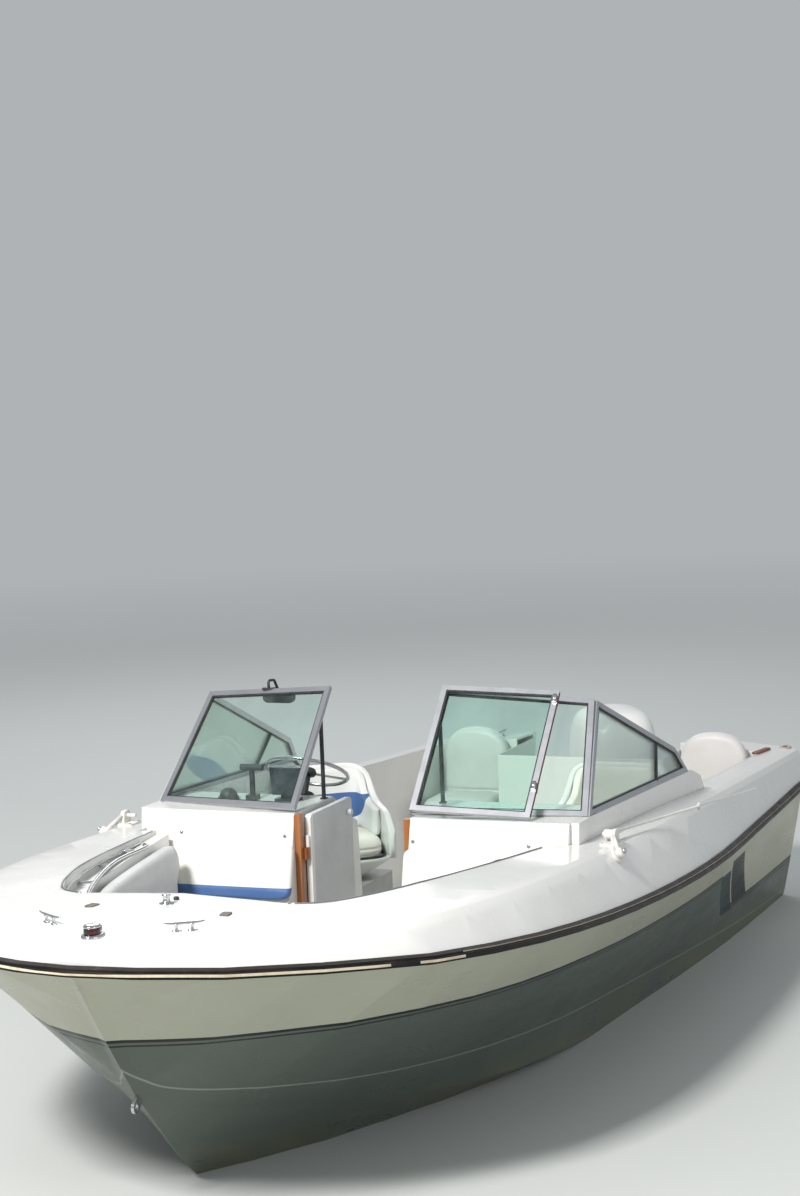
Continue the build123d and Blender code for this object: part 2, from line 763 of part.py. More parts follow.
# Captain's seats: a box, a bucket shell that turns on it, a pad and a back pad
for hand, seat_x, seat_y, turn in seat_table:
    seat_axis = Axis((seat_x, seat_y, 0), (0, 0, 1))
    with BuildPart() as bucket:
        with BuildSketch(Plane.XY.offset(seat_box_top + swivel_rise / 2 + seat_gap)):
            with Locations((seat_x, seat_y)):
                Circle(swivel_r)
        extrude(amount=swivel_rise / 2)
        for z, size in ((seat_box_top + swivel_rise, pedestal_size), (shell_floor_z, bucket_width - 60)):
            with BuildSketch(Plane.XY.offset(z)):
                with Locations((seat_x, seat_y)):
                    RectangleRounded(size, size, 90)
        loft(ruled=True)
        with BuildSketch(Plane.XY.offset(shell_floor_z)) as bowl:
            with Locations((seat_x, seat_y)):
                Rectangle(bucket_length, bucket_width)
            fillet(bowl.vertices().group_by(Axis.X)[0], bucket_back_r)
            fillet(bowl.vertices().group_by(Axis.X)[-1], 60)
        extrude(amount=bucket_top_z - shell_floor_z)
        with BuildSketch(Plane.XY.offset(shell_floor_z + 8)) as hollow:
            with Locations((seat_x + bucket_wall, seat_y)):
                Rectangle(bucket_length, bucket_width - 2 * bucket_wall)
            fillet(hollow.vertices().group_by(Axis.X)[0], bucket_back_r - bucket_wall)
        extrude(amount=bucket_top_z, mode=Mode.SUBTRACT)
        profile = [(seat_x + x, z) for x, z in bucket_profile]
        add(slab(profile, seat_y - bucket_width, seat_y + bucket_width), mode=Mode.SUBTRACT)
    with BuildPart() as seat_pad:
        with BuildSketch(Plane.XY.offset(shell_floor_z + 8 + seat_gap)):
            with Locations((seat_x + 32, seat_y)):
                RectangleRounded(bucket_length - 105, bucket_width - 2 * bucket_wall - 6, 70)
        extrude(amount=seat_pad_wall)
    inner_r = bucket_back_r - bucket_wall
    corner_reach = back_pad_half - (bucket_width / 2 - bucket_back_r)
    pad_back_x = seat_x - bucket_length / 2 + bucket_wall + seat_gap
    pad_back_x += inner_r - (inner_r**2 - corner_reach**2) ** 0.5
    back_side = [
        (pad_back_x, back_pad_low_z),
        (pad_back_x, bucket_top_z - 28),
        (seat_x - 150, bucket_top_z - 22),
        (seat_x - 120, 860),
        (seat_x - 110, back_pad_low_z),
    ]
    back_pad = slab(back_side, seat_y - back_pad_half, seat_y + back_pad_half, 18)
    save(bucket.part.rotate(seat_axis, turn), "seat_shell_" + hand)
    save(seat_pad.part.rotate(seat_axis, turn), "seat_pad_" + hand)
    save(back_pad.rotate(seat_axis, turn), "seat_back_pad_" + hand)
with BuildPart() as seat_boxes:
    for hand, seat_x, seat_y, turn in seat_table:
        with BuildSketch(Plane.XY.offset(sole_z)):
            with Locations((seat_x, seat_y)):
                RectangleRounded(seat_box_length, seat_box_width, 30)
        extrude(amount=seat_box_top - sole_z)
        with BuildSketch(Plane.XY.offset(seat_box_top)):
            with Locations((seat_x, seat_y)):
                Circle(swivel_r)
        extrude(amount=swivel_rise / 2)
save(seat_boxes.part, "seat_boxes")

# Jump seats in the stern corners: a moulded box, a pad and a rounded back
with BuildPart() as jump_box:
    with BuildSketch(Plane.XY.offset(sole_z)):
        with Locations((jump_x - 60, jump_y)):
            RectangleRounded(480, jump_width, 30)
    extrude(amount=jump_box_top - sole_z)
with BuildPart() as jump_pad:
    with BuildSketch(Plane.XY.offset(jump_box_top + seat_gap)):
        with Locations((jump_x - 12, jump_y)):
            RectangleRounded(375, jump_width - 10, 60)
    extrude(amount=jump_pad_wall)
with BuildPart() as jump_back:
    with BuildSketch(cross_plane(jump_x - 290)) as back:
        with Locations((jump_y, (jump_box_top + jump_back_top) / 2)):
            Rectangle(jump_width - 10, jump_back_top - jump_box_top - 2 * seat_gap)
        fillet(back.vertices().group_by(Axis.Y)[-1], 90)
    extrude(amount=80)
save_pair(jump_box.part, "jump_seat_boxes")
save_pair(jump_pad.part, "jump_seat_pads")
save_pair(jump_back.part, "jump_seat_backs")

# Helm: column and wheel square to the sloping panel
panel_lean = atan2(console_top_z - panel_aft_z, panel_front_x - panel_aft_x)
panel_mid_x = (panel_front_x + panel_aft_x) / 2
panel_mid_z = (console_top_z + panel_aft_z) / 2
panel = Plane(
    origin=(panel_mid_x, helm_y, panel_mid_z), x_dir=(0, 1, 0), z_dir=(-sin(panel_lean), 0, cos(panel_lean))
)
with BuildPart() as column:
    with BuildSketch(panel.offset(seat_gap)):
        Circle(46)
    extrude(amount=40)
    with BuildSketch(panel.offset(40)):
        Circle(18)
    extrude(amount=wheel_reach - 58)
save(column.part, "steering_column")
hub_face = wheel_reach - 18 + seat_gap
with BuildPart() as wheel:
    with BuildSketch(panel.offset(hub_face)):
        Circle(36)
    extrude(amount=26)
    rim = panel.offset(wheel_reach)
    with BuildSketch(Plane(origin=rim.origin, x_dir=rim.z_dir, z_dir=(0, 1, 0))):
        with Locations((0, wheel_radius)):
            Circle(14)
    revolve(axis=Axis(rim.origin, rim.z_dir))
    with BuildSketch(panel.offset(wheel_reach - 5)):
        with PolarLocations((wheel_radius + 20) / 2, 3, 90):
            Rectangle(wheel_radius - 26, 34)
    extrude(amount=9)
save(wheel.part, "steering_wheel")

# Helm fittings on the console's top: a lever with a cross handle, a compass and a sounder
with BuildPart() as control:
    with BuildSketch(Plane.XY.offset(console_top_z + seat_gap)):
        with Locations((control_x, control_y)):
            RectangleRounded(62, 50, 12)
    extrude(amount=22)
    with BuildSketch(Plane.XY.offset(console_top_z + 20)):
        with Locations((control_x, control_y)):
            Circle(12)
    extrude(amount=125)
    with BuildSketch(side_plane(control_y + 52)):
        with Locations((control_x, console_top_z + 142)):
            Circle(14)
    extrude(amount=104)
save(control.part, "engine_control")
with BuildPart() as compass:
    with BuildSketch(Plane.XY.offset(console_top_z + seat_gap)):
        with Locations((compass_x, compass_y)):
            Circle(46)
    extrude(amount=12)
    with BuildSketch(Plane(origin=(compass_x, compass_y, console_top_z + 12), x_dir=(1, 0, 0), z_dir=(0, -1, 0))):
        with BuildLine():
            CenterArc((0, 0), 40, 0, 90)
            Line((0, 40), (0, 0))
            Line((0, 0), (40, 0))
        make_face()
    revolve(axis=Axis((compass_x, compass_y, 0), (0, 0, 1)))
save(compass.part, "compass")
with BuildPart() as sounder:
    with BuildSketch(Plane.XY.offset(console_top_z + seat_gap)):
        with Locations((sounder_x, sounder_y)):
            RectangleRounded(70, 110, 10)
    extrude(amount=10)
    with BuildSketch(Plane.XY.offset(console_top_z + 10)):
        with Locations((sounder_x, sounder_y)):
            Rectangle(24, 60)
    extrude(amount=30)
    for z, width in ((console_top_z + 28, 132), (console_top_z + 148, 152)):
        with BuildSketch(Plane.XY.offset(z)):
            with Locations((sounder_x, sounder_y)):
                RectangleRounded(64, width, 10)
    loft(ruled=True)
save(sounder.part, "sounder")


# Deck fittings
def deck_z(x, y):
    # height of the deck's top at a place, straight between crease and crown
    for low, high in zip(rows, rows[1:]):
        if low[0] <= x <= high[0]:
            share = (x - low[0]) / (high[0] - low[0])
            crease_y, crease_z, crown_z = [low[k] + share * (high[k] - low[k]) for k in (8, 9, 10)]
            return crown_z - (crown_z - crease_z) * abs(y) / crease_y
    return 0


def cleat(x, y, turn, length):
    base_z = deck_z(x, y)
    with BuildPart() as part:
        with BuildSketch(Plane.XY.offset(base_z - deck_wall)):
            with Locations(Location((x, y, 0), (0, 0, turn))):
                with GridLocations(cleat_spread, 0, 2, 1):
                    SlotOverall(cleat_foot_length, cleat_foot_width)
        extrude(amount=deck_wall + 5)
        with BuildSketch(Plane.XY.offset(base_z)):
            with Locations(Location((x, y, 0), (0, 0, turn))):
                with GridLocations(cleat_spread, 0, 2, 1):
                    Circle(cleat_post_r)
        extrude(amount=cleat_height)
        with BuildSketch(Plane.XY.offset(base_z + cleat_height - cleat_bar / 2)):
            with Locations(Location((x, y, 0), (0, 0, turn))):
                SlotOverall(length, cleat_bar)
        extrude(amount=cleat_bar)
        add(deck_outer, mode=Mode.SUBTRACT)
    return part.part


for name, x, y, turn in cleat_table:
    save_pair(cleat(x, y, turn, cleat_length), name)

with BuildPart() as bow_light:
    with BuildSketch(Plane.XY.offset(deck_z(bow_light_x, 0) - 10)):
        with Locations((bow_light_x, 0)):
            Ellipse(*light_base)
    extrude(amount=10 + light_base_height)
    with BuildSketch(Plane.XY.offset(deck_z(bow_light_x, 0) + light_base_height)):
        with Locations((bow_light_x + 4, 0)):
            Ellipse(*light_lens)
    extrude(amount=light_lens_height, taper=6)
    add(deck_outer, mode=Mode.SUBTRACT)
save(bow_light.part, "bow_light")

# Bow eye on the stem: a plate square to it, with a round hole for a shackle in its end
eye_reach = (eye_length - eye_width) / 2
with BuildPart() as bow_eye:
    with BuildSketch(Plane.XZ.offset(-eye_wall / 2)):
        with Locations(Location((eye_x, eye_z, 0), (0, 0, eye_turn))):
            SlotOverall(eye_length, eye_width)
            with Locations((eye_reach, 0)):
                Circle(eye_r, mode=Mode.SUBTRACT)
    extrude(amount=eye_wall)
    add(hull_outer, mode=Mode.SUBTRACT)
save(bow_eye.part.solids().sort_by(Axis.X)[-1], "bow_eye")

# Grab rails of the bow cockpit: a tube on posts that stand on the liner's ledge
rail_points = [(x, y, ledge_z + rail_height) for x, y in rail_plan_points]
feet = [(x, y, ledge_z + seat_gap) for x, y in (rail_plan_points[0], rail_plan_points[-1])]
with BuildPart() as grab_rail:
    with BuildLine() as path:
        FilletPolyline(feet[0], *rail_points, feet[1], radius=26)
    with BuildSketch(Plane(origin=path.line @ 0, z_dir=path.line % 0)):
        Circle(rail_r)
    sweep()
    for x, y in rail_plan_points[1:-1]:
        with BuildSketch(Plane.XY.offset(ledge_z + seat_gap)):
            with Locations((x, y)):
                Circle(rail_r * 0.8)
        extrude(amount=rail_height)
    for x, y in rail_plan_points:
        with BuildSketch(Plane.XY.offset(ledge_z + seat_gap)):
            with Locations((x, y)):
                Circle(22)
        extrude(amount=6)
save_pair(grab_rail.part, "bow_rails")

# Aerial: a ratchet mount on each side deck, with the port one's pole folded aft
mount_z = deck_z(aerial_x, aerial_y)
pivot_z = mount_z + aerial_rise
with BuildPart() as mount:
    with BuildSketch(Plane.XY.offset(mount_z - 10)):
        with Locations((aerial_x, aerial_y)):
            RectangleRounded(104, 78, 14)
    extrude(amount=20)
    with BuildSketch(side_plane(aerial_y + 24)):
        with Locations((aerial_x, pivot_z - 16)):
            RectangleRounded(58, 74, 18)
    extrude(amount=18)
    with BuildSketch(side_plane(aerial_y + 6)):
        with Locations((aerial_x, pivot_z)):
            Circle(aerial_pin_r)
    extrude(amount=42)
    add(deck_outer, mode=Mode.SUBTRACT)
save_pair(mount.part, "aerial_mounts")
drop, splay = radians(aerial_drop), radians(aerial_splay)
aft_run = Vector(-cos(drop) * cos(splay), cos(drop) * sin(splay), -sin(drop))
pole_root = Vector(aerial_x, aerial_y - 12, pivot_z)
with BuildPart() as aerial:
    with BuildSketch(side_plane(aerial_y + 6 - seat_gap)):
        with Locations((aerial_x, pivot_z)):
            Circle(20)
            Circle(aerial_pin_r + 0.2, mode=Mode.SUBTRACT)
    extrude(amount=36)
    for start, length, radius in ((14, 120, 15), (120, 900, 10), (1000, aerial_length - 1000, 6)):
        with BuildSketch(Plane(origin=pole_root + aft_run * start, x_dir=(0, 0, 1), z_dir=aft_run)):
            Circle(radius)
        extrude(amount=length)
    with BuildSketch(side_plane(aerial_y + 24)):
        with Locations((aerial_x, pivot_z)):
            Circle(aerial_pin_r + 0.2)
    extrude(amount=70, mode=Mode.SUBTRACT)
save(aerial.part, "aerial")

# Outboard motor, drawn straight ahead and then turned to its rest about the steering axis
steer_axis = Axis((steer_x, 0, 0), (0, 0, 1))
with BuildPart() as clamp:
    for y in (-150, 110):
        add(
            slab(
                [
                    (transom_x(cutout_z - 70) + transom_wall + 14, cutout_z - 70),
                    (transom_x(cutout_z) + transom_wall + 14, cutout_z + 14),
                    (tilt_x + 26, tilt_z + 30),
                    (tilt_x - 26, tilt_z + 30),
                    (transom_x(60) - 46, 60),
                    (transom_x(0) - seat_gap, 0),
                    (transom_x(cutout_z) - seat_gap, cutout_z + seat_gap),
                    (transom_x(cutout_z) + transom_wall + seat_gap, cutout_z + seat_gap),
                    (transom_x(cutout_z - 70) + transom_wall + seat_gap, cutout_z - 70),
                ],
                y,
                y + 40,
            )
        )
    with BuildSketch(side_plane(150)):
        with Locations((tilt_x, tilt_z)):
            Circle(tilt_pin_r)
    extrude(amount=300)
save(clamp.part, "clamp_bracket")
with BuildPart() as swivel:
    with BuildSketch(side_plane(106)):
        with Locations((tilt_x, tilt_z)):
            Circle(30)
            Circle(tilt_pin_r + 0.3, mode=Mode.SUBTRACT)
    extrude(amount=212)
    with BuildSketch(Plane.XY.offset(20)):
        with Locations((steer_x, 0)):
            Circle(44)
    extrude(amount=tilt_z - 20)
    with BuildSketch(side_plane(50)):
        with BuildLine():
            Polyline(
                (tilt_x - 20, tilt_z - 20),
                (tilt_x - 24, 120),
                (steer_x, 40),
                (steer_x, tilt_z - 4),
                (tilt_x - 20, tilt_z + 10),
                close=True,
            )
        make_face()
    extrude(amount=100)
    with BuildSketch(Plane.XY.offset(20)):
        with Locations((steer_x, 0)):
            Circle(steer_pin_r + 0.3)
    extrude(amount=tilt_z, mode=Mode.SUBTRACT)
save(swivel.part, "swivel_bracket")

cowl_sections = [
    # z, middle from the axis, length, width, corner radius
    (cowl_foot_z, -190, 540, 380, 120),
    (cowl_foot_z + 90, -190, 630, 430, 130),
    (cowl_foot_z + 330, -182, 630, 430, 130),
    (cowl_foot_z + 430, -174, 580, 400, 130),
    (cowl_top_z - 22, -170, 480, 330, 120),
    (cowl_top_z, -168, 390, 250, 100),
]
with BuildPart() as cowl:
    for z, middle, length, width, corner in cowl_sections:
        with BuildSketch(Plane.XY.offset(z)):
            with Locations((steer_x + middle, 0)):
                RectangleRounded(length, width, corner)
    loft(ruled=True)
save(cowl.part.rotate(steer_axis, steer_rest), "engine_cowl")

leg_sections = [
    # z, middle from the axis, length, width
    (cowl_foot_z - seat_gap, -165, 500, 330),
    (tilt_z + 36, -140, 420, 250),
    (tilt_z + 35, -160, 220, 140),
    (0, -150, 190, 96),
    (plate_z + 12, -150, 200, 80),
]
with BuildPart() as leg:
    for z, middle, length, width in leg_sections:
        with BuildSketch(Plane.XY.offset(z)):
            with Locations((steer_x + middle, 0)):
                Ellipse(length / 2, width / 2)
    loft(ruled=True)
    with BuildSketch(Plane.XY.offset(20 - seat_gap)):
        with Locations((steer_x, 0)):
            Circle(steer_pin_r)
    extrude(amount=tilt_z + 36 - 20)
    with BuildSketch(Plane.XY.offset(20 - 30)):
        with Locations((steer_x - 40, 0)):
            RectangleRounded(150, 70, 30)
    extrude(amount=30 - seat_gap)
strut_sections = [
    # z, middle from the axis, length, width
    (prop_z, -125, 200, 84),
    (prop_z + 70, -132, 180, 58),
    (plate_z, -140, 200, 66),
]
skeg_wall = 12.0
skeg_points = [(-30, prop_z), (-88, prop_z - 205), (-120, prop_z - 228), (-190, prop_z - 220), (-222, prop_z)]
with BuildPart() as lower:
    with BuildSketch(Plane.XY.offset(plate_z)):
        with Locations((steer_x - 190, 0)):
            Ellipse(240, 95)
    extrude(amount=12 - seat_gap)
    for z, middle, length, width in strut_sections:
        with BuildSketch(Plane.XY.offset(z)):
            with Locations((steer_x + middle, 0)):
                Ellipse(length / 2, width / 2)
    loft(ruled=True)
    add(slab([(steer_x + x, z) for x, z in skeg_points], -skeg_wall / 2, skeg_wall / 2))
    with BuildSketch(side_plane(0)):
        with BuildLine():
            Spline(
                (steer_x + 130, prop_z),
                (steer_x + 40, prop_z + 46),
                (steer_x - 120, prop_z + 54),
                (hub_x, prop_z + 50),
            )
            Line((hub_x, prop_z + 50), (hub_x, prop_z))
            Line((hub_x, prop_z), (steer_x + 130, prop_z))
        make_face()
    revolve(axis=Axis((0, 0, prop_z), (1, 0, 0)))
# radius of the section, its half chord, half thickness and turn from the shaft
blade_sections = [(34, 66, 9, 48), (105, 76, 6, 62), (prop_radius, 40, 3, 72)]
blade_x = hub_x - 65
with BuildPart() as blade:
    for reach, chord, thick, turn in blade_sections:
        with BuildSketch(Plane(origin=(blade_x, 0, prop_z + reach), x_dir=(1, 0, 0), z_dir=(0, 0, 1))):
            with Locations(Location((0, 0, 0), (0, 0, turn))):
                Ellipse(chord, thick)
    loft(ruled=True)
with BuildPart() as prop:
    with BuildSketch(Plane(origin=(hub_x - seat_gap, 0, prop_z), x_dir=(0, 1, 0), z_dir=(-1, 0, 0))):
        Circle(50)
    extrude(amount=130)
    for turn in range(3):
        add(blade.part.rotate(Axis((0, 0, prop_z), (1, 0, 0)), 120 * turn))
for part, name in ((leg.part, "drive_leg"), (lower.part, "gearcase"), (prop.part, "propeller")):
    save(part.rotate(steer_axis, steer_rest), name)
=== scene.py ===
"""An open bow runabout afloat: gelcoat, vinyl, glass, rails and motor on the frame of its parts."""

import bmesh
import bpy
import numpy as np
from mathutils import Matrix


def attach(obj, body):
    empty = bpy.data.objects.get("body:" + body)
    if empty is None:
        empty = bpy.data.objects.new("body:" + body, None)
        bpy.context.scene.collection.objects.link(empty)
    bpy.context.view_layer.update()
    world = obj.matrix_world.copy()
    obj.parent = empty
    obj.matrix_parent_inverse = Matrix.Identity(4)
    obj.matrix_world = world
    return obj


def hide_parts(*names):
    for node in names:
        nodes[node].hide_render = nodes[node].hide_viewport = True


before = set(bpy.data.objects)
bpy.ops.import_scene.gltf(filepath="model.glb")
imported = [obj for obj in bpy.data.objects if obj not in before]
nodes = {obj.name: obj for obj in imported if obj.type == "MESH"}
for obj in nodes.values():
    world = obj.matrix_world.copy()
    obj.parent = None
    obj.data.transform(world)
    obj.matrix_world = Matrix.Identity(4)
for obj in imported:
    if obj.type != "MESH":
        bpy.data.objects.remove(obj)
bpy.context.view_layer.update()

# The camera, off the port bow: axes of the picture in the boat's frame
camera_place = (10.6593, 4.3786, 3.1044)
picture_right = (-0.376805, 0.925472, -0.038992)
picture_up = (-0.112655, -0.004004, 0.993626)
looking = (-0.919417, -0.378796, -0.105768)
focal_pixels = 2660.76
picture_height = 1196.0

camera = bpy.data.objects.new("camera", bpy.data.cameras.new("camera"))
bpy.context.scene.collection.objects.link(camera)
axes = np.array([picture_right, picture_up, [-c for c in looking]]).T
placed = np.eye(4)
placed[:3, :3] = axes
placed[:3, 3] = camera_place
camera.matrix_world = Matrix(placed.tolist())
camera.data.sensor_width = 36.0
camera.data.lens = focal_pixels / picture_height * camera.data.sensor_width
camera.data.clip_end = 200.0
bpy.context.scene.camera = camera


# Materials
def start_material(name, rough, **sockets):
    """A material and its shader, with the sockets that are the same all over it set directly."""
    material = bpy.data.materials.new(name)
    material.use_nodes = True
    shader = material.node_tree.nodes["Principled BSDF"]
    shader.inputs["Roughness"].default_value = rough
    for key, value in sockets.items():
        shader.inputs[key.replace("_", " ")].default_value = value
    return material, material.node_tree, shader


def put(tree, kind, inputs=None, **settings):
    """A node of this kind with its settings made, and its inputs set to numbers or linked to sockets."""
    made = tree.nodes.new("ShaderNode" + kind)
    for key, value in settings.items():
        setattr(made, key, value)
    for key, value in (inputs or {}).items():
        if isinstance(value, bpy.types.NodeSocket):
            tree.links.new(value, made.inputs[key])
        else:
            made.inputs[key].default_value = value
    return made


def sums(tree, operation, *values, clamp=False):
    """The output of one arithmetic node."""
    made = put(tree, "Math", dict(enumerate(values)), operation=operation, use_clamp=clamp)
    return made.outputs[0]


def blend_colour(tree, share, first, second):
    """First colour turning into second as share goes from nought to one."""
    made = tree.nodes.new("ShaderNodeMix")
    made.data_type = "RGBA"
    for key, value in ((0, share), (6, first), (7, second)):
        if isinstance(value, bpy.types.NodeSocket):
            tree.links.new(value, made.inputs[key])
        else:
            made.inputs[key].default_value = value if key == 0 else (*value, 1.0)
    return made.outputs[2]


def place_on(tree):
    """The object's own coordinates along, across and up, each a socket."""
    return tuple(put(tree, "SeparateXYZ", {0: put(tree, "TexCoord").outputs["Object"]}).outputs)


def spread(tree, scale, detail=3.0, rough=0.55, stretch=None):
    """Noise on the object's own coordinates, from nought to one, drawn out by stretch."""
    place = put(tree, "TexCoord").outputs["Object"]
    if stretch:
        place = put(tree, "Mapping", {"Vector": place, "Scale": stretch}).outputs[0]
    made = put(tree, "TexNoise", {"Vector": place, "Scale": scale, "Detail": detail, "Roughness": rough})
    return made.outputs[0]


def steps(tree, value, low, high, out_low=0.0, out_high=1.0):
    """Value carried from one range to another and held at its ends."""
    return put(
        tree,
        "MapRange",
        {"Value": value, "From Min": low, "From Max": high, "To Min": out_low, "To Max": out_high},
    ).outputs[0]


def relief(tree, shader, height, distance, strength, radius=0.0):
    """Bump from a height, over normals that ease round the edges by a radius in metres."""
    bump = put(tree, "Bump", {"Height": height, "Distance": distance, "Strength": strength})
    if radius:
        tree.links.new(put(tree, "Bevel", {"Radius": radius}, samples=4).outputs[0], bump.inputs["Normal"])
    tree.links.new(bump.outputs[0], shader.inputs["Normal"])


def height_along(tree, x, points):
    """A height that follows x by a curve through pairs of place and height."""
    curve = tree.nodes.new("ShaderNodeFloatCurve")
    line = curve.mapping.curves[0]
    while len(line.points) < len(points):
        line.points.new(0.5, 0.5)
    first, last = points[0][0], points[-1][0]
    for point, (along, height) in zip(line.points, points):
        point.location = ((along - first) / (last - first), height)
    curve.mapping.update()
    tree.links.new(steps(tree, x, first, last), curve.inputs["Value"])
    return curve.outputs[0]


def gelcoat(name, colour, worn, rough=0.16, radius=0.006):
    """Glossy moulding: chalked patches, a fine orange peel and faint grime low in its hollows."""
    material, tree, shader = start_material(name, rough, Coat_Weight=0.35, Coat_Roughness=0.08)
    patches = spread(tree, 1.7, 6.0, 0.62)
    fine = spread(tree, 38.0, 3.0, 0.5)
    runs = spread(tree, 9.0, 4.0, 0.6, (1.0, 1.0, 0.16))
    share = sums(tree, "MULTIPLY", steps(tree, patches, 0.42, 0.72), 0.55)
    share = sums(tree, "ADD", share, sums(tree, "MULTIPLY", steps(tree, runs, 0.56, 0.8), 0.25), clamp=True)
    tree.links.new(blend_colour(tree, share, colour, worn), shader.inputs["Base Color"])
    tree.links.new(steps(tree, patches, 0.3, 0.75, rough, rough + 0.2), shader.inputs["Roughness"])
    relief(tree, shader, fine, 0.0007, 0.25, radius)
    return material


def vinyl(name, colour, worn, band=None, rough=(0.42, 0.56), folds=22.0, depth=0.0014, strength=0.4):
    """Marine vinyl: leather grain, a soft sheen, darker soiling where people sit, and blue where band says."""
    material, tree, shader = start_material(name, rough[0], Sheen_Weight=0.12, Sheen_Roughness=0.4)
    patches = spread(tree, 3.2, 5.0, 0.6)
    soiled = steps(tree, patches, 0.4, 0.75)
    shade = blend_colour(tree, soiled, colour, worn)
    if band:
        blue = blend_colour(tree, soiled, (0.055, 0.13, 0.32), (0.085, 0.165, 0.35))
        shade = blend_colour(tree, band(tree, *place_on(tree)), shade, blue)
    tree.links.new(shade, shader.inputs["Base Color"])
    tree.links.new(steps(tree, patches, 0.3, 0.7, *rough), shader.inputs["Roughness"])
    place = put(tree, "TexCoord").outputs["Object"]
    cells = put(tree, "TexVoronoi", {"Vector": place, "Scale": 420.0}, feature="DISTANCE_TO_EDGE").outputs[0]
    height = sums(tree, "ADD", steps(tree, cells, 0.0, 0.18, 0.0, 0.12), spread(tree, folds, 3.0, 0.6))
    relief(tree, shader, height, depth, strength)
    return material


def foot_band(tree, x, y, z):
    """Below the level of the bolsters' blue foot, all along."""
    return sums(tree, "LESS_THAN", z, foot_band_level)


def back_panel(tree, x, y, z):
    """Half an ellipse that hangs from a level inside the helm seat's back."""
    middle_y, half_width, level, fall = helm_panel
    across = sums(tree, "DIVIDE", sums(tree, "SUBTRACT", y, middle_y), half_width)
    down = sums(tree, "DIVIDE", sums(tree, "SUBTRACT", z, level), fall)
    inside = sums(tree, "ADD", sums(tree, "MULTIPLY", across, across), sums(tree, "MULTIPLY", down, down))
    return sums(tree, "MULTIPLY", sums(tree, "LESS_THAN", inside, 1.0), sums(tree, "LESS_THAN", z, level))


def metal(name, colour, rough, streak=(1.0, 1.0, 1.0), tarnish=0.12):
    """Bright metal with fine drawn scratches and dull patches of salt."""
    material, tree, shader = start_material(name, rough, Metallic=1.0)
    scratches = spread(tree, 90.0, 4.0, 0.6, streak)
    salt = spread(tree, 11.0, 5.0, 0.65)
    dull = tuple(c * 0.72 for c in colour)
    share = sums(tree, "MULTIPLY", steps(tree, salt, 0.5, 0.8), 0.6)
    tree.links.new(blend_colour(tree, share, colour, dull), shader.inputs["Base Color"])
    dulled = steps(tree, salt, 0.45, 0.8, rough, rough + tarnish)
    tree.links.new(sums(tree, "ADD", dulled, sums(tree, "MULTIPLY", scratches, 0.08)), shader.inputs["Roughness"])
    relief(tree, shader, scratches, 0.0004, 0.3)
    return material


def plastic(name, colour, worn, rough=0.4, scale=24.0, radius=0.0015):
    """Moulded plastic or rubber, paler and rougher where sun and hands have worn it."""
    material, tree, shader = start_material(name, rough)
    patches = spread(tree, scale, 5.0, 0.6)
    fine = spread(tree, scale * 14, 2.0, 0.5)
    tree.links.new(blend_colour(tree, steps(tree, patches, 0.45, 0.78), colour, worn), shader.inputs["Base Color"])
    tree.links.new(steps(tree, patches, 0.3, 0.75, rough, rough + 0.18), shader.inputs["Roughness"])
    relief(tree, shader, fine, 0.0004, 0.4, radius)
    return material


def glass(name, tint):
    """Tinted safety glass: a thin clear sheet with a green cast, faint smears and water spots."""
    material, tree, shader = start_material(name, 0.03, IOR=1.45, Transmission_Weight=0.0)
    smears = spread(tree, 6.0, 6.0, 0.65, (1.0, 1.0, 0.4))
    clear = put(tree, "BsdfTransparent", {"Color": (*tint, 1.0)}).outputs[0]
    shine = put(tree, "BsdfGlossy", {"Color": (1.0, 1.0, 1.0, 1.0), "Roughness": 0.03}).outputs[0]
    haze = put(tree, "BsdfDiffuse", {"Color": (0.62, 0.72, 0.68, 1.0)}).outputs[0]
    facing = put(tree, "LayerWeight", {"Blend": 0.2}).outputs["Fresnel"]
    film = put(tree, "MixShader", {0: steps(tree, smears, 0.45, 0.8, 0.0, 0.05), 1: clear, 2: haze}).outputs[0]
    sheet = put(tree, "MixShader", {0: sums(tree, "MULTIPLY", facing, 0.8), 1: film, 2: shine}).outputs[0]
    tree.links.new(sheet, tree.nodes["Material Output"].inputs["Surface"])
    tree.nodes.remove(shader)
    return material


def wood(name, colour, dark):
    """Varnished teak with long grain up the post and a worn, uneven varnish."""
    material, tree, shader = start_material(name, 0.3, Coat_Weight=0.3, Coat_Roughness=0.2)
    grain = spread(tree, 26.0, 6.0, 0.6, (1.0, 1.0, 0.07))
    patches = spread(tree, 8.0, 4.0, 0.6)
    tree.links.new(blend_colour(tree, steps(tree, grain, 0.35, 0.68), dark, colour), shader.inputs["Base Color"])
    tree.links.new(steps(tree, patches, 0.35, 0.7, 0.22, 0.55), shader.inputs["Roughness"])
    relief(tree, shader, grain, 0.0012, 0.5)
    return material


# Blue parts of the vinyl: level of the bolsters' foot band, and middle, half width, level and fall of the helm's panel
foot_band_level = 0.742
helm_panel = (-0.662, 0.138, 0.856, 0.125)

# Lines of paint and knuckle along the boat, the knuckle's line carrying a painted highlight: place along it and height,
# in metres
paint_line = [
    (-1.30, 0.452), (-0.93, 0.458), (-0.09, 0.492), (0.85, 0.545), (1.46, 0.575),
    (2.04, 0.617), (2.36, 0.637), (2.55, 0.646), (2.71, 0.654), (2.90, 0.668),
]
knuckle_line = [
    (-3.05, 0.020), (-1.70, 0.074), (-0.40, 0.133), (0.80, 0.212), (1.70, 0.291), (2.30, 0.380), (2.50, 0.418),
    (2.65, 0.482), (2.88, 0.776),
]
# The raked blocks: lean, edges along the boat of the rear and the front one, their feet and the rear one's head
block_lean = 1.3
rear_block, front_block = (-2.130, -1.880), (-1.862, -1.690)
rear_foot, rear_head, front_foot = 0.205, 0.505, 0.185
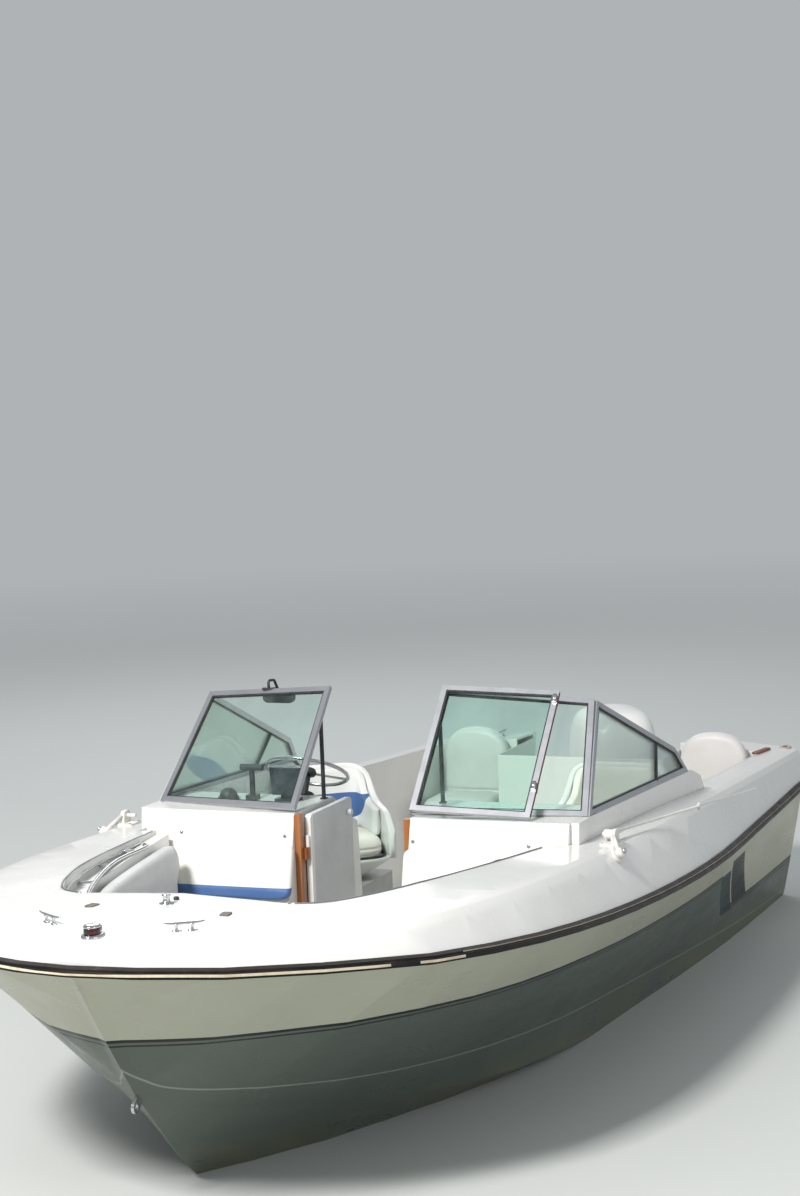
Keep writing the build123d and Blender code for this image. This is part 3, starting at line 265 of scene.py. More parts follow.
# Aft of the blocks the grey stops at a low line: its height amidships and its slope
low_line, low_slope = 0.236, 0.0132


def hull_paint(name):
    """Off-white topsides over a grey band, both set darker and greener as painted shade and painted green water
    reflection, two fine dark lines between them, two raked dark blocks aft and a painted highlight along the knuckle.
    """
    material, tree, shader = start_material(name, 0.3, Specular_IOR_Level=0.22, Coat_Weight=0.06, Coat_Roughness=0.2)
    x, _, z = place_on(tree)
    stripe_level = height_along(tree, x, paint_line)
    raked = sums(tree, "SUBTRACT", x, sums(tree, "MULTIPLY", z, block_lean))
    forward = sums(tree, "GREATER_THAN", raked, front_block[1])
    low = sums(tree, "ADD", sums(tree, "MULTIPLY", x, low_slope), low_line)
    edge = put(tree, "Mix", {0: forward, 2: low, 3: stripe_level}, data_type="FLOAT").outputs[0]
    above = sums(tree, "SUBTRACT", z, edge)
    grey = sums(tree, "LESS_THAN", above, 0.0)
    thick = sums(tree, "COMPARE", above, 0.003, 0.0062)
    thin = sums(tree, "COMPARE", above, -0.017, 0.0034)

    def between(value, low_end, high_end):
        above_low, below_high = sums(tree, "GREATER_THAN", value, low_end), sums(tree, "LESS_THAN", value, high_end)
        return sums(tree, "MULTIPLY", above_low, below_high)

    def block(edges, foot, head):
        return sums(tree, "MULTIPLY", between(raked, *edges), between(z, foot, head))

    patches = spread(tree, 1.3, 6.0, 0.6)
    streaks = spread(tree, 5.0, 5.0, 0.62, (0.35, 1.0, 1.6))
    worn = sums(tree, "MULTIPLY", steps(tree, patches, 0.4, 0.75), 0.6)
    # The off-white and the grey band are set darker and olive green: painted shade and painted water reflection over
    # the real two-tone paint.
    white = blend_colour(tree, worn, (0.43, 0.435, 0.345), (0.34, 0.35, 0.27))
    band = blend_colour(tree, worn, (0.088, 0.107, 0.092), (0.118, 0.136, 0.115))
    colour = blend_colour(tree, grey, white, band)
    colour = blend_colour(tree, block(front_block, front_foot, stripe_level), colour, (0.010, 0.030, 0.031))
    colour = blend_colour(tree, block(rear_block, rear_foot, rear_head), colour, (0.006, 0.012, 0.012))
    lines = sums(tree, "MAXIMUM", thick, thin)
    colour = blend_colour(tree, lines, colour, (0.012, 0.016, 0.015))
    # A thin pale line along the knuckle: a painted highlight.
    knuckle_highlight = sums(tree, "COMPARE", z, height_along(tree, x, knuckle_line), 0.003)
    colour = blend_colour(tree, sums(tree, "MULTIPLY", knuckle_highlight, 0.45), colour, (0.40, 0.42, 0.36))
    scum = sums(tree, "MULTIPLY", steps(tree, z, 0.16, 0.0), steps(tree, streaks, 0.35, 0.65))
    colour = blend_colour(tree, sums(tree, "MULTIPLY", scum, 0.7), colour, (0.20, 0.19, 0.10))
    tree.links.new(colour, shader.inputs["Base Color"])
    tree.links.new(steps(tree, streaks, 0.35, 0.75, 0.26, 0.48), shader.inputs["Roughness"])
    relief(tree, shader, spread(tree, 34.0, 3.0, 0.5), 0.0007, 0.25, 0.004)
    return material


# The rail's mid height along the boat, and how far its cream bead runs aft
rail_line = [
    (-3.05, 0.572), (-1.70, 0.604), (-0.40, 0.667), (0.80, 0.749), (1.70, 0.830), (2.30, 0.887), (2.65, 0.924),
    (2.88, 0.948), (3.00, 0.962), (3.10, 0.972),
]
bead_from, bead_gap = 2.17, (2.37, 2.47)


def rail_rubber(name):
    """Dark rubber with a cream bead low in its middle at the bow, and further aft a fine white line above it."""
    material, tree, shader = start_material(name, 0.4, Specular_IOR_Level=0.2)
    x, _, z = place_on(tree)
    above = sums(tree, "SUBTRACT", z, height_along(tree, x, rail_line))
    forward = sums(tree, "GREATER_THAN", x, bead_from)
    whole = sums(tree, "SUBTRACT", 1.0, sums(tree, "COMPARE", x, sum(bead_gap) / 2, (bead_gap[1] - bead_gap[0]) / 2))
    bead = sums(tree, "MULTIPLY", sums(tree, "COMPARE", above, -0.003, 0.0048), sums(tree, "MULTIPLY", forward, whole))
    thin = sums(tree, "MULTIPLY", sums(tree, "COMPARE", above, 0.0125, 0.0022), sums(tree, "SUBTRACT", 1.0, forward))
    patches = spread(tree, 14.0, 5.0, 0.6)
    dark = blend_colour(tree, steps(tree, patches, 0.45, 0.78), (0.011, 0.009, 0.009), (0.030, 0.023, 0.021))
    cream = blend_colour(tree, steps(tree, patches, 0.4, 0.7), (0.70, 0.63, 0.48), (0.50, 0.42, 0.30))
    share = sums(tree, "MAXIMUM", bead, sums(tree, "MULTIPLY", thin, 0.6))
    tree.links.new(blend_colour(tree, share, dark, cream), shader.inputs["Base Color"])
    tree.links.new(steps(tree, patches, 0.3, 0.75, 0.34, 0.55), shader.inputs["Roughness"])
    relief(tree, shader, spread(tree, 190.0, 2.0, 0.5), 0.0004, 0.4, 0.003)
    return material


def door_finish(name):
    """Grey door board with a thick white edge at its hinge and top."""
    material, tree, shader = start_material(name, 0.3)
    patches = spread(tree, 5.0, 5.0, 0.6)
    edge_from = 0.572
    edge = sums(tree, "GREATER_THAN", place_on(tree)[0], edge_from)
    board = blend_colour(tree, steps(tree, patches, 0.4, 0.75), (0.60, 0.61, 0.63), (0.52, 0.53, 0.55))
    tree.links.new(blend_colour(tree, edge, board, (0.80, 0.79, 0.76)), shader.inputs["Base Color"])
    tree.links.new(steps(tree, patches, 0.3, 0.7, 0.24, 0.46), shader.inputs["Roughness"])
    relief(tree, shader, spread(tree, 60.0, 2.0), 0.0004, 0.3, 0.005)
    return material


hull_finish = hull_paint("hull_gelcoat")
deck_finish = gelcoat("deck_gelcoat", (0.75, 0.745, 0.725), (0.68, 0.67, 0.64), radius=0.009)
liner_finish = gelcoat("liner_gelcoat", (0.72, 0.72, 0.69), (0.62, 0.61, 0.56), 0.3, 0.008)
rail_finish = rail_rubber("rail_rubber")
# The frames' brushed alloy is set far darker than bare alloy: painted shade for frames seen in shadow.
shaded_alloy = metal("brushed_alloy_painted_shade", (0.50, 0.51, 0.54), 0.34)
steel = metal("polished_steel", (0.60, 0.60, 0.61), 0.12, tarnish=0.16)
# A dark grey metal for the tube along the bow opening: painted shade for the gap between deck and liner.
gap_shade_metal = metal("gap_shade_grey", (0.30, 0.30, 0.31), 0.35)
pane_finish = glass("tinted_glass", (0.90, 0.975, 0.95))
gasket_finish = plastic("black_gasket", (0.018, 0.019, 0.02), (0.06, 0.06, 0.06), 0.5)
rust_seal = plastic("rusty_seal", (0.13, 0.045, 0.03), (0.24, 0.13, 0.10), 0.6, 60.0)
teak_finish = wood("varnished_teak", (0.50, 0.19, 0.055), (0.24, 0.075, 0.02))
cream_vinyl = vinyl("cream_vinyl", (0.84, 0.81, 0.74), (0.76, 0.73, 0.65))
grey_vinyl = vinyl("grey_vinyl", (0.58, 0.58, 0.59), (0.49, 0.49, 0.50))
jump_vinyl = vinyl("jump_seat_vinyl", (0.64, 0.62, 0.61), (0.56, 0.54, 0.53))
smooth_vinyl = {"rough": (0.4, 0.55), "folds": 12.0, "depth": 0.0018, "strength": 0.45}
cream, white = np.array([0.86, 0.845, 0.79]), np.array([0.76, 0.76, 0.74])
bolster_vinyl = vinyl("cream_and_blue_vinyl", cream, cream * 0.92, foot_band, **smooth_vinyl)
helm_vinyl = vinyl("white_and_blue_vinyl", white, white * 0.92, back_panel, **smooth_vinyl)
shell_finish = gelcoat("seat_shell_gelcoat", (0.76, 0.76, 0.74), (0.68, 0.67, 0.63), 0.26, 0.008)
box_finish = plastic("seat_box_grey", (0.40, 0.40, 0.39), (0.50, 0.49, 0.47), 0.45, 10.0, 0.004)
black_finish = plastic("black_plastic", (0.022, 0.022, 0.025), (0.07, 0.07, 0.075), 0.42)
navy_finish = plastic("navy_housing", (0.008, 0.011, 0.022), (0.02, 0.026, 0.042), 0.24, 20.0, 0.004)
white_finish = plastic("white_plastic", (0.74, 0.73, 0.70), (0.64, 0.62, 0.57), 0.34)
cowl_finish = gelcoat("cowl_enamel", (0.80, 0.80, 0.79), (0.72, 0.72, 0.70), 0.2, 0.004)
leg_finish = gelcoat("leg_enamel", (0.66, 0.66, 0.65), (0.52, 0.52, 0.50), 0.34, 0.003)
bracket_finish = plastic("bracket_black", (0.03, 0.03, 0.033), (0.10, 0.095, 0.09), 0.5, 30.0, 0.003)
prop_finish = plastic("propeller_black", (0.03, 0.03, 0.033), (0.20, 0.20, 0.20), 0.4, 40.0)
door_look = door_finish("door_board")
tan_finish = plastic("fitting_tan", (0.42, 0.33, 0.27), (0.50, 0.42, 0.36), 0.5)
red_lens = plastic("red_lens", (0.060, 0.006, 0.010), (0.045, 0.006, 0.008), 0.10)
green_lens = plastic("green_lens", (0.004, 0.028, 0.018), (0.005, 0.022, 0.015), 0.10)
brown_trim = plastic("brown_trim", (0.17, 0.075, 0.045), (0.27, 0.14, 0.09), 0.5)
hinge_finish = plastic("hinge_brown", (0.12, 0.095, 0.08), (0.19, 0.16, 0.14), 0.5)

# Finishes of the parts that show as they are, and of those whose skins are faired
finishes = {
    hull_finish: ["hull"],
    deck_finish: ["deck", "console_port", "console_starboard"],
    rail_finish: ["rub_rail", "rub_rail_insert"],
    liner_finish: ["sole", "bow_liner", "cockpit_liner", "splash_well", "bow_benches", "jump_seat_boxes"],
    shaded_alloy: ["windscreen_frame_port", "windscreen_frame_starboard", "centre_pane_frame"],
    pane_finish: ["windscreen_glass_port", "windscreen_glass_starboard", "centre_pane_glass"],
    teak_finish: ["door_jambs"],
    door_look: ["walkthrough_door"],
    box_finish: ["seat_boxes"],
    black_finish: ["steering_column", "engine_control", "compass", "screen_struts", "mirror"],
    navy_finish: ["sounder"],
    steel: ["bow_eye"],
    white_finish: ["aerial_mounts"],
    bracket_finish: ["clamp_bracket", "swivel_bracket"],
    leg_finish: ["drive_leg", "gearcase"],
    prop_finish: ["propeller"],
}
for finish, names in finishes.items():
    for name in names:
        nodes[name].data.materials.clear()
        nodes[name].data.materials.append(finish)


def faired(name):
    """The skin of a moulding with its triangles joined and shaded as one curve up to 10 degrees between faces."""
    mesh = nodes[name].data.copy()
    build = bmesh.new()
    build.from_mesh(mesh)
    bmesh.ops.remove_doubles(build, verts=build.verts, dist=2e-5)
    build.to_mesh(mesh)
    build.free()
    mesh.polygons.foreach_set("use_smooth", np.full(len(mesh.polygons), True))
    mesh.set_sharp_from_angle(angle=np.radians(10.0))
    piece = bpy.data.objects.new(name + "_faired", mesh)
    bpy.context.scene.collection.objects.link(piece)
    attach(piece, "boat")
    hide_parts(name)


for name in ("hull", "deck", "rub_rail", "rub_rail_insert", "bow_liner", "cockpit_liner"):
    faired(name)


# Surfaces worked out on grids
def surface(name, grids, finish, body, closed=True, smooth=True):
    """One piece from grids of points, rows by columns.

    Columns run round and join where closed, and each closed grid's first and last rows shut on their middles.
    """
    points, faces, start = [], [], 0
    for grid in grids:
        rows, columns = grid.shape[:2]
        points.append(grid.reshape(-1, 3))
        row, column = np.mgrid[0 : rows - 1, 0 : columns - (0 if closed else 1)]
        after = (column + 1) % columns
        quads = np.stack(
            [row * columns + column, row * columns + after, (row + 1) * columns + after, (row + 1) * columns + column],
            axis=-1,
        )
        faces += (quads.reshape(-1, 4) + start).tolist()
        if closed:
            points.append(np.array([grid[0].mean(axis=0), grid[-1].mean(axis=0)]))
            poles = start + rows * columns
            ring = np.arange(columns)
            low = np.stack([ring, np.full(columns, rows * columns), (ring + 1) % columns], axis=-1)
            top = low[:, ::-1] % (rows * columns) + (rows - 1) * columns
            top[:, 1] = rows * columns + 1
            faces += (low + start).tolist() + (top + start).tolist()
            start = poles + 2
        else:
            start += rows * columns
    mesh = bpy.data.meshes.new(name)
    mesh.from_pydata(np.concatenate(points).tolist(), [], faces)
    build = bmesh.new()
    build.from_mesh(mesh)
    bmesh.ops.remove_doubles(build, verts=build.verts, dist=1e-6)
    bmesh.ops.recalc_face_normals(build, faces=build.faces)
    build.to_mesh(mesh)
    build.free()
    mesh.polygons.foreach_set("use_smooth", np.full(len(mesh.polygons), smooth))
    piece = bpy.data.objects.new(name, mesh)
    bpy.context.scene.collection.objects.link(piece)
    mesh.materials.append(finish)
    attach(piece, body)
    return piece


def both_sides(grids):
    """The grids and their mirror images to starboard."""
    return list(grids) + [grid * (1.0, -1.0, 1.0) for grid in grids]


def oval(count, half_a, half_b, power):
    """A superellipse: each of cosine and sine raised to two over power, signs kept, times its half width."""
    turn = np.linspace(0, 2 * np.pi, count, endpoint=False)
    c, s = np.cos(turn), np.sin(turn)
    return np.stack(
        [half_a * np.sign(c) * np.abs(c) ** (2 / power), half_b * np.sign(s) * np.abs(s) ** (2 / power)], axis=-1
    )


def eased(corners, count, width):
    """A closed outline: its corners' polygon sampled evenly by length and averaged over a width in metres."""
    loop = np.asarray(corners + corners[:1], float)
    along = np.concatenate([[0], np.cumsum(np.linalg.norm(np.diff(loop, axis=0), axis=1))])
    dense = 8 * count
    even = np.linspace(0, along[-1], dense, endpoint=False)
    outline = np.stack([np.interp(even, along, loop[:, 0]), np.interp(even, along, loop[:, 1])], axis=-1)
    reach = max(1, int(width / along[-1] * dense))
    window = np.zeros(dense)
    window[: reach + 1] = window[dense - reach :] = 1 / (2 * reach + 1)
    spectrum = np.fft.fft(window)[:, None]
    return np.real(np.fft.ifft(np.fft.fft(outline, axis=0) * spectrum, axis=0))[::8]


def cushion(outline, low, high, crown, edge, pinch, channels=None):
    """A crowned pad over a plan outline.

    The rim draws in on a quarter circle of radius edge above and below, and its waist by pinch. The top swells by
    crown times one less the fourth power of the share of the way out, and channels press into it.
    """
    rim_rows, face_rows = 9, 24
    outline = np.asarray(outline, float)
    middle = outline.mean(axis=0)
    reach = np.linalg.norm(outline - middle, axis=1)
    turn = np.linspace(0, np.pi / 2, rim_rows)
    rise = min(edge, (high - low) / 2.2)
    waist = np.linspace(0, 1, 6)[1:-1]
    inward = np.concatenate([rise * (1 - np.sin(turn)), pinch * np.sin(np.pi * waist), rise * (1 - np.cos(turn))])
    wall = low + rise + (high - low - 2 * rise) * waist
    level = np.concatenate([low + rise * (1 - np.cos(turn)), wall, high - rise + rise * np.sin(turn)])
    share = 1 - inward[:, None] / reach
    inner = np.linspace(1, 0, face_rows + 2)[1:-1, None] ** 0.8
    shares = np.concatenate([share[0] * inner[::-1], share, share[-1] * inner])
    grid = np.empty((len(shares), len(outline), 3))
    grid[..., :2] = middle + (outline - middle) * shares[..., None]
    grid[..., 2] = np.concatenate([np.full(face_rows, low), level, np.full(face_rows, high)])[:, None]
    top = np.zeros((len(shares), 1))
    top[-(face_rows + rim_rows) :] = 1.0
    grid[..., 2] += crown * (1 - np.clip(shares, 0, 1) ** 4) * top
    if channels:
        grid[..., 2] -= channels(grid[..., 0], grid[..., 1]) * top
    return grid


def groove(value, place, depth, half_width):
    """Depth of a pressed channel: full where value is at its place, and fading as a bell over half_width."""
    return depth * np.exp(-(((value - place) / half_width) ** 2))


def piped(outline, level, radius, out):
    """A round piping laid along an outline at one level, a little out from it, as a tube."""
    middle = outline.mean(axis=0)
    reach = np.linalg.norm(outline - middle, axis=1, keepdims=True)
    path = middle + (outline - middle) * (1 + out / reach)
    return ring_tube(np.column_stack([path, np.full(len(outline), level)]), radius)


def ring_tube(path, radius):
    """A closed loop of tube: at each point a circle across the chord from the point before to the one after."""
    run = np.roll(path, -1, axis=0) - np.roll(path, 1, axis=0)
    run /= np.linalg.norm(run, axis=1, keepdims=True)
    up = np.array([0.0, 0.0, 1.0])
    side = np.cross(run, up)
    side /= np.linalg.norm(side, axis=1, keepdims=True)
    top = np.cross(side, run)
    turn = np.linspace(0, 2 * np.pi, 8, endpoint=False)
    ring = np.cos(turn)[None, :, None] * side[:, None] + np.sin(turn)[None, :, None] * top[:, None]
    grid = path[:, None] + radius * ring
    return np.concatenate([grid, grid[:1]])


def levelled(values, window):
    """Each value's mean with its neighbours over a window, the end ones repeated past the ends."""
    return np.convolve(np.pad(values, window // 2, mode="edge"), np.ones(window) / window, "valid")


def swept(path, section, up=(0.0, 0.0, 1.0)):
    """A section carried along an open path: its first number goes sideways, its second along up, square to the run."""
    path = np.asarray(path, float)
    run = np.gradient(path, axis=0)
    run /= np.linalg.norm(run, axis=1, keepdims=True)
    side = np.cross(run, up)
    side /= np.linalg.norm(side, axis=1, keepdims=True)
    top = np.cross(side, run)
    section = np.asarray(section, float)
    if section.ndim == 2:
        section = np.broadcast_to(section, (len(path), *section.shape))
    return path[:, None] + section[..., 0:1] * side[:, None] + section[..., 1:2] * top[:, None]


def tube(path, radius, sides=12):
    """A round rod along an open path."""
    return swept(path, oval(sides, radius, radius, 2))


def smooth_path(corners, count=40, passes=3):
    """A path through the corners' runs, cut round at its corners by taking quarter points, passes times."""
    path = np.asarray(corners, float)
    for _ in range(passes):
        near = 0.75 * path[:-1] + 0.25 * path[1:]
        far = 0.25 * path[:-1] + 0.75 * path[1:]
        path = np.concatenate([path[:1], np.stack([near, far], axis=1).reshape(-1, path.shape[1]), path[-1:]])
    along = np.concatenate([[0], np.cumsum(np.linalg.norm(np.diff(path, axis=0), axis=1))])
    even = np.linspace(0, along[-1], count)
    return np.stack([np.interp(even, along, path[:, k]) for k in range(path.shape[1])], axis=-1)


def turned(grid, origin, right, up):
    """A grid drawn flat, its x to the right, y up and z outward, set on a plane."""
    right, up = np.asarray(right, float), np.asarray(up, float)
    right /= np.linalg.norm(right)
    out = np.cross(right, up)
    out /= np.linalg.norm(out)
    up = np.cross(out, right)
    return np.asarray(origin, float) + grid[..., 0:1] * right + grid[..., 1:2] * up + grid[..., 2:3] * out


def about_upright(grid, x, y, degrees):
    """A grid turned about an upright axis."""
    turn = np.radians(degrees)
    dx, dy = grid[..., 0] - x, grid[..., 1] - y
    return np.stack(
        [x + dx * np.cos(turn) - dy * np.sin(turn), y + dx * np.sin(turn) + dy * np.cos(turn), grid[..., 2]], axis=-1
    )


def disc(x, y, z, radius, height, power=2.0, count=32, edge=0.3, half_b=None):
    """A low upright button: an oval drawn up from z by height, its rim eased over a share edge of it."""
    turn = np.linspace(0, np.pi / 2, 6)
    scale = np.concatenate([[1.0], 1 - edge * height / radius * (1 - np.cos(turn)), [0.5, 0.1]])
    level = np.concatenate([[0.0], height * (1 - edge) + height * edge * np.sin(turn), [height, height]])
    plan = oval(count, radius, half_b or radius, power)
    grid = np.empty((len(scale), count, 3))
    grid[..., 0] = x + plan[None, :, 0] * scale[:, None]
    grid[..., 1] = y + plan[None, :, 1] * scale[:, None]
    grid[..., 2] = z + level[:, None]
    return grid


def lathe(profile, x, y, z, count=48, half_b=1.0):
    """A turned shape: each row of radius and height carried round an upright axis, narrowed across by half_b."""
    profile = np.asarray(profile, float)
    turn = np.linspace(0, 2 * np.pi, count, endpoint=False)
    radius = profile[:, :1]
    level = np.repeat(profile[:, 1:], count, axis=1)
    return np.stack([x + radius * np.cos(turn), y + radius * np.sin(turn) * half_b, z + level], axis=-1)


def turned_rod(profile, start, run, count=20):
    """A turned rod: each row gives the distance along the run and the radius there."""
    profile = np.asarray(profile, float)
    run = np.asarray(run, float)
    path = np.asarray(start, float) + profile[:, :1] * run
    side = np.cross(run, (0.0, 0.0, 1.0))
    side /= np.linalg.norm(side)
    top = np.cross(side, run)
    ring = oval(count, 1.0, 1.0, 2)
    return path[:, None] + profile[:, None, 1:] * (ring[None, :, :1] * side + ring[None, :, 1:] * top)


def bar(start, end, width, depth, up):
    """A straight bar of rectangular section between two points."""
    half_w, half_d = width / 2, depth / 2
    section = [(-half_w, -half_d), (half_w, -half_d), (half_w, half_d), (-half_w, half_d)]
    path = np.linspace(start, end, 3)
    return swept(path, section, up)


# Places shared with the parts, in metres
bow_opening = [(2.210, 0.420), (2.150, 0.540), (1.950, 0.638), (1.640, 0.733), (1.200, 0.815), (0.600, 0.900)]
inner_wall = 0.0683
bench_top, bow_pad_top = 0.380, 0.460
rest_gap = 0.0005


def inboard(points, inset):
    """Each point of the opening's side drawn in square to its run."""
    points = np.asarray(points, float)
    run = np.gradient(points, axis=0)
    run /= np.linalg.norm(run, axis=1, keepdims=True)
    return points + np.stack([-run[:, 1], run[:, 0]], axis=-1) * inset


# Bow seats
side_line = smooth_path(bow_opening, 60)
side_inner = inboard(side_line, inner_wall + 0.004)
seat_side = side_inner[(side_inner[:, 0] < 2.08) & (side_inner[:, 0] > 0.805)]
cushion_outline = eased(
    [(2.075, 0.165)] + [tuple(p) for p in seat_side[::4]] + [(0.805, 0.365), (1.50, 0.315)], 120, 0.03
)


def bow_channels(x, y):
    """Two sewn channels along the seat, a narrow groove each."""
    return groove(y, 0.47, 0.006, 0.006) + groove(x, 1.46, 0.006, 0.006)


bow_pad = cushion(
    cushion_outline, bench_top + rest_gap, bow_pad_top - 0.012, crown=0.014, edge=0.03, pinch=0.004,
    channels=bow_channels,
)
bow_pads = surface("bow_seat_cushions", both_sides([bow_pad]), grey_vinyl, "boat")
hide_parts("bow_cushions")
piping = piped(cushion_outline, bow_pad_top - 0.032, radius=0.004, out=0.001)
surface("bow_seat_piping", both_sides([piping]), grey_vinyl, "boat")


def ends_in(path, reach):
    """Share of a section kept at each point of a path: a quarter circle's rise over reach at both ends."""
    path = np.asarray(path, float)
    along = np.concatenate([[0], np.cumsum(np.linalg.norm(np.diff(path, axis=0), axis=1))])
    near = np.minimum(along, along[-1] - along)
    return np.sqrt(1 - (1 - np.clip(near / reach, 0.0, 1.0)) ** 2).clip(0.02)


def bolster(path, centre, half_thick, half_tall, power, reach, roll):
    """An upright padded rest along a path.

    Its section is a superellipse about centre, fuller by roll in its upper third, with a groove below the roll. It
    shrinks to nothing on a quarter circle at its ends.
    """
    plan = oval(56, half_thick, half_tall, power)
    fuller = 1 + roll / half_thick * np.clip((plan[:, 1] / half_tall - 0.18) / 0.22, 0, 1) * (plan[:, 0] < 0)
    plan = np.stack([plan[:, 0] * fuller, plan[:, 1]], axis=-1)
    plan[:, 0] += groove(plan[:, 1] / half_tall, 0.16, 0.010, 0.07) * (plan[:, 0] < 0)
    share = ends_in(path, reach)[:, None, None]
    section = np.asarray(centre) + plan[None] * (0.12 + 0.88 * share)
    return swept(path, section)


rest_path = smooth_path(side_inner[(side_inner[:, 0] < 1.95) & (side_inner[:, 0] > 0.81)], 46, 1)
rest_path = np.column_stack([rest_path, np.zeros(len(rest_path))])
side_rest = bolster(
    rest_path, centre=(-0.034, 0.766), half_thick=0.030, half_tall=0.160, power=4.0, reach=0.05, roll=0.016
)
side_rests = surface("bow_side_bolsters", both_sides([side_rest]), grey_vinyl, "boat")
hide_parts("bow_side_rests")


# Bolsters on the console fronts, on the plane of the raked face
face_foot, face_head = np.array([0.745, 0.0, 0.660]), np.array([0.652, 0.0, 1.040])
face_up = face_head - face_foot
console_pads = []


def bolster_folds(x, y):
    """Soft folds that run down and inward from the bolster's outboard top corner, and a faint sag along its foot."""
    outer_end, head, lean, fade, pitch = 0.876, 0.27, 0.42, 0.17, 0.055
    out = outer_end - np.abs(x)
    slant = out - lean * (head - y)
    return groove(out, 0.0, 0.0035, fade) * (1 + np.sin(2 * np.pi * slant / pitch)) + groove(y, 0.075, 0.002, 0.008)


for hand in (1, -1):
    outline = oval(150, 0.3135, 0.1225, 9.0) + (0.5625 * hand, 0.1475)
    grid = cushion(outline, 0.0004, 0.034, crown=0.010, edge=0.016, pinch=0.002, channels=bolster_folds)
    console_pads.append(turned(grid, face_foot, (0.0, 1.0, 0.0), face_up))
front_rests = surface("console_bolsters", console_pads, bolster_vinyl, "boat")
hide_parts("bow_backrests")
snap = disc(0.0, 0.0, -0.001, 0.008, 0.004, count=20, edge=0.6)
snap_level = face_foot + face_up * (0.946 - face_foot[2]) / face_up[2]
snaps = [turned(snap, snap_level + (0.0, y, 0.0), (0.0, 1.0, 0.0), face_up) for y in (-0.300, 0.280, -0.785, 0.785)]
surface("bolster_snaps", snaps, steel, "boat")

# Captain's seats: hand, place and turn of the post, body, vinyl of the lining and its slot
seat_places = (
    ("port", (-0.860, 0.630, 0.0), "boat", cream_vinyl, "vinyl_cream"),
    ("starboard", (-0.580, -0.640, 40.0), "helm_seat", helm_vinyl, "vinyl_white"),
)
shell_floor, shell_foot, shell_half_wall = 0.608, 0.598, 0.0165
pad_top = 0.690


def seat_channels(x, y):
    """Two grooves across a seat pad."""
    return groove(x, 0.03, 0.005, 0.006) + groove(x, -0.09, 0.005, 0.006)


def bucket_lining():
    """A padded lining: a path round the bucket's inner wall, as high as its rim, with three rolls up its section."""
    side = [(0.10, 0.190), (-0.06, 0.190), (-0.185, 0.185)]
    path = smooth_path(side + [(-0.190, 0.0)] + [(x, -y) for x, y in side[::-1]], 70)
    top = np.interp(path[:, 0], [-0.185, -0.150, -0.075, 0.0, 0.10], [0.972, 0.960, 0.850, 0.822, 0.806])
    half_thick, roll_deep, roll_tall = 0.018, 0.006, 0.094
    plan = oval(64, 1.0, 1.0, 5.0)
    level = (top[:, None] + pad_top) / 2 + plan[:, 1] * (top[:, None] - pad_top) / 2
    rolls = roll_deep * np.abs(np.sin(np.pi * (level - pad_top) / roll_tall)) ** 0.6
    thick = (plan[:, 0] * half_thick + (plan[:, 0] > 0) * rolls) * (0.15 + 0.85 * ends_in(path, 0.03))[:, None]
    return swept(np.column_stack([path, np.zeros(len(path))]), np.stack([thick, level], axis=-1))


def bucket_shell():
    """The moulded bucket.

    A wall is carried round a rounded path, and its top falls in one sweep from the back to the arms and off their
    ends. Below it, a pan of superellipses tapers to the post.
    """
    side = [(0.215, 0.226), (-0.05, 0.230), (-0.228, 0.222)]
    path = smooth_path(side + [(-0.232, 0.0)] + [(x, -y) for x, y in side[::-1]], 110, 4)
    fall = [  # place behind and before the post, height of the wall's top
        (-0.232, 0.988), (-0.215, 0.984), (-0.175, 0.960), (-0.130, 0.915), (-0.085, 0.868), (-0.040, 0.838),
        (0.010, 0.822), (0.100, 0.812), (0.160, 0.792), (0.190, 0.765), (0.215, 0.715),
    ]
    top = levelled(np.interp(path[:, 0], *zip(*fall)), 7)
    plan = oval(48, 1.0, 1.0, 8.0)
    level = shell_foot + (top[:, None] - shell_foot) / 2 * (1 + plan[:, 1])
    thick = np.broadcast_to(plan[:, 0] * shell_half_wall, level.shape)
    wall = swept(np.column_stack([path, np.zeros(len(path))]), np.stack([thick, level], axis=-1))
    pan_rows = [  # level, half width, squareness
        (0.502, 0.120, 3.0), (0.506, 0.140, 3.2), (0.530, 0.165, 3.6), (0.570, 0.215, 4.4), (0.592, 0.236, 5.0),
        (0.602, 0.2395, 5.0), (0.606, 0.235, 5.0),
    ]
    pan = [np.column_stack([oval(96, wide, wide, power), np.full(96, height)]) for height, wide, power in pan_rows]
    return [wall, np.array(pan)]


pad_edge_line = np.column_stack([oval(90, 0.232, 0.205, 6.0), np.full(90, shell_floor + 0.0045)])
seat_plan = oval(100, 0.190, 0.196, 4.5)
pad_grid = cushion(
    seat_plan, shell_floor + rest_gap, pad_top, crown=0.022, edge=0.034, pinch=0.005, channels=seat_channels
) + (0.032, 0.0, 0.0)


def placed_seat(grid, post):
    """A grid drawn about a seat's post, carried to its place and turned."""
    x, y, degrees = post
    return about_upright(grid + (x, y, 0.0), x, y, degrees)


for hand, post, body, back_vinyl, back_slot in seat_places:
    shell_grids = [placed_seat(grid, post) for grid in bucket_shell()]
    shell = surface("captain_shell_" + hand, shell_grids, shell_finish, body)
    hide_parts("seat_shell_" + hand)
    pad_edge = ring_tube(placed_seat(pad_edge_line, post), 0.006)
    surface("captain_pad_edge_" + hand, [pad_edge], black_finish, body)
    seat = surface("captain_pad_" + hand, [placed_seat(pad_grid, post)], cream_vinyl, body)
    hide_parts("seat_pad_" + hand)
    back = surface("captain_back_" + hand, [placed_seat(bucket_lining(), post)], back_vinyl, body)
    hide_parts("seat_back_pad_" + hand)

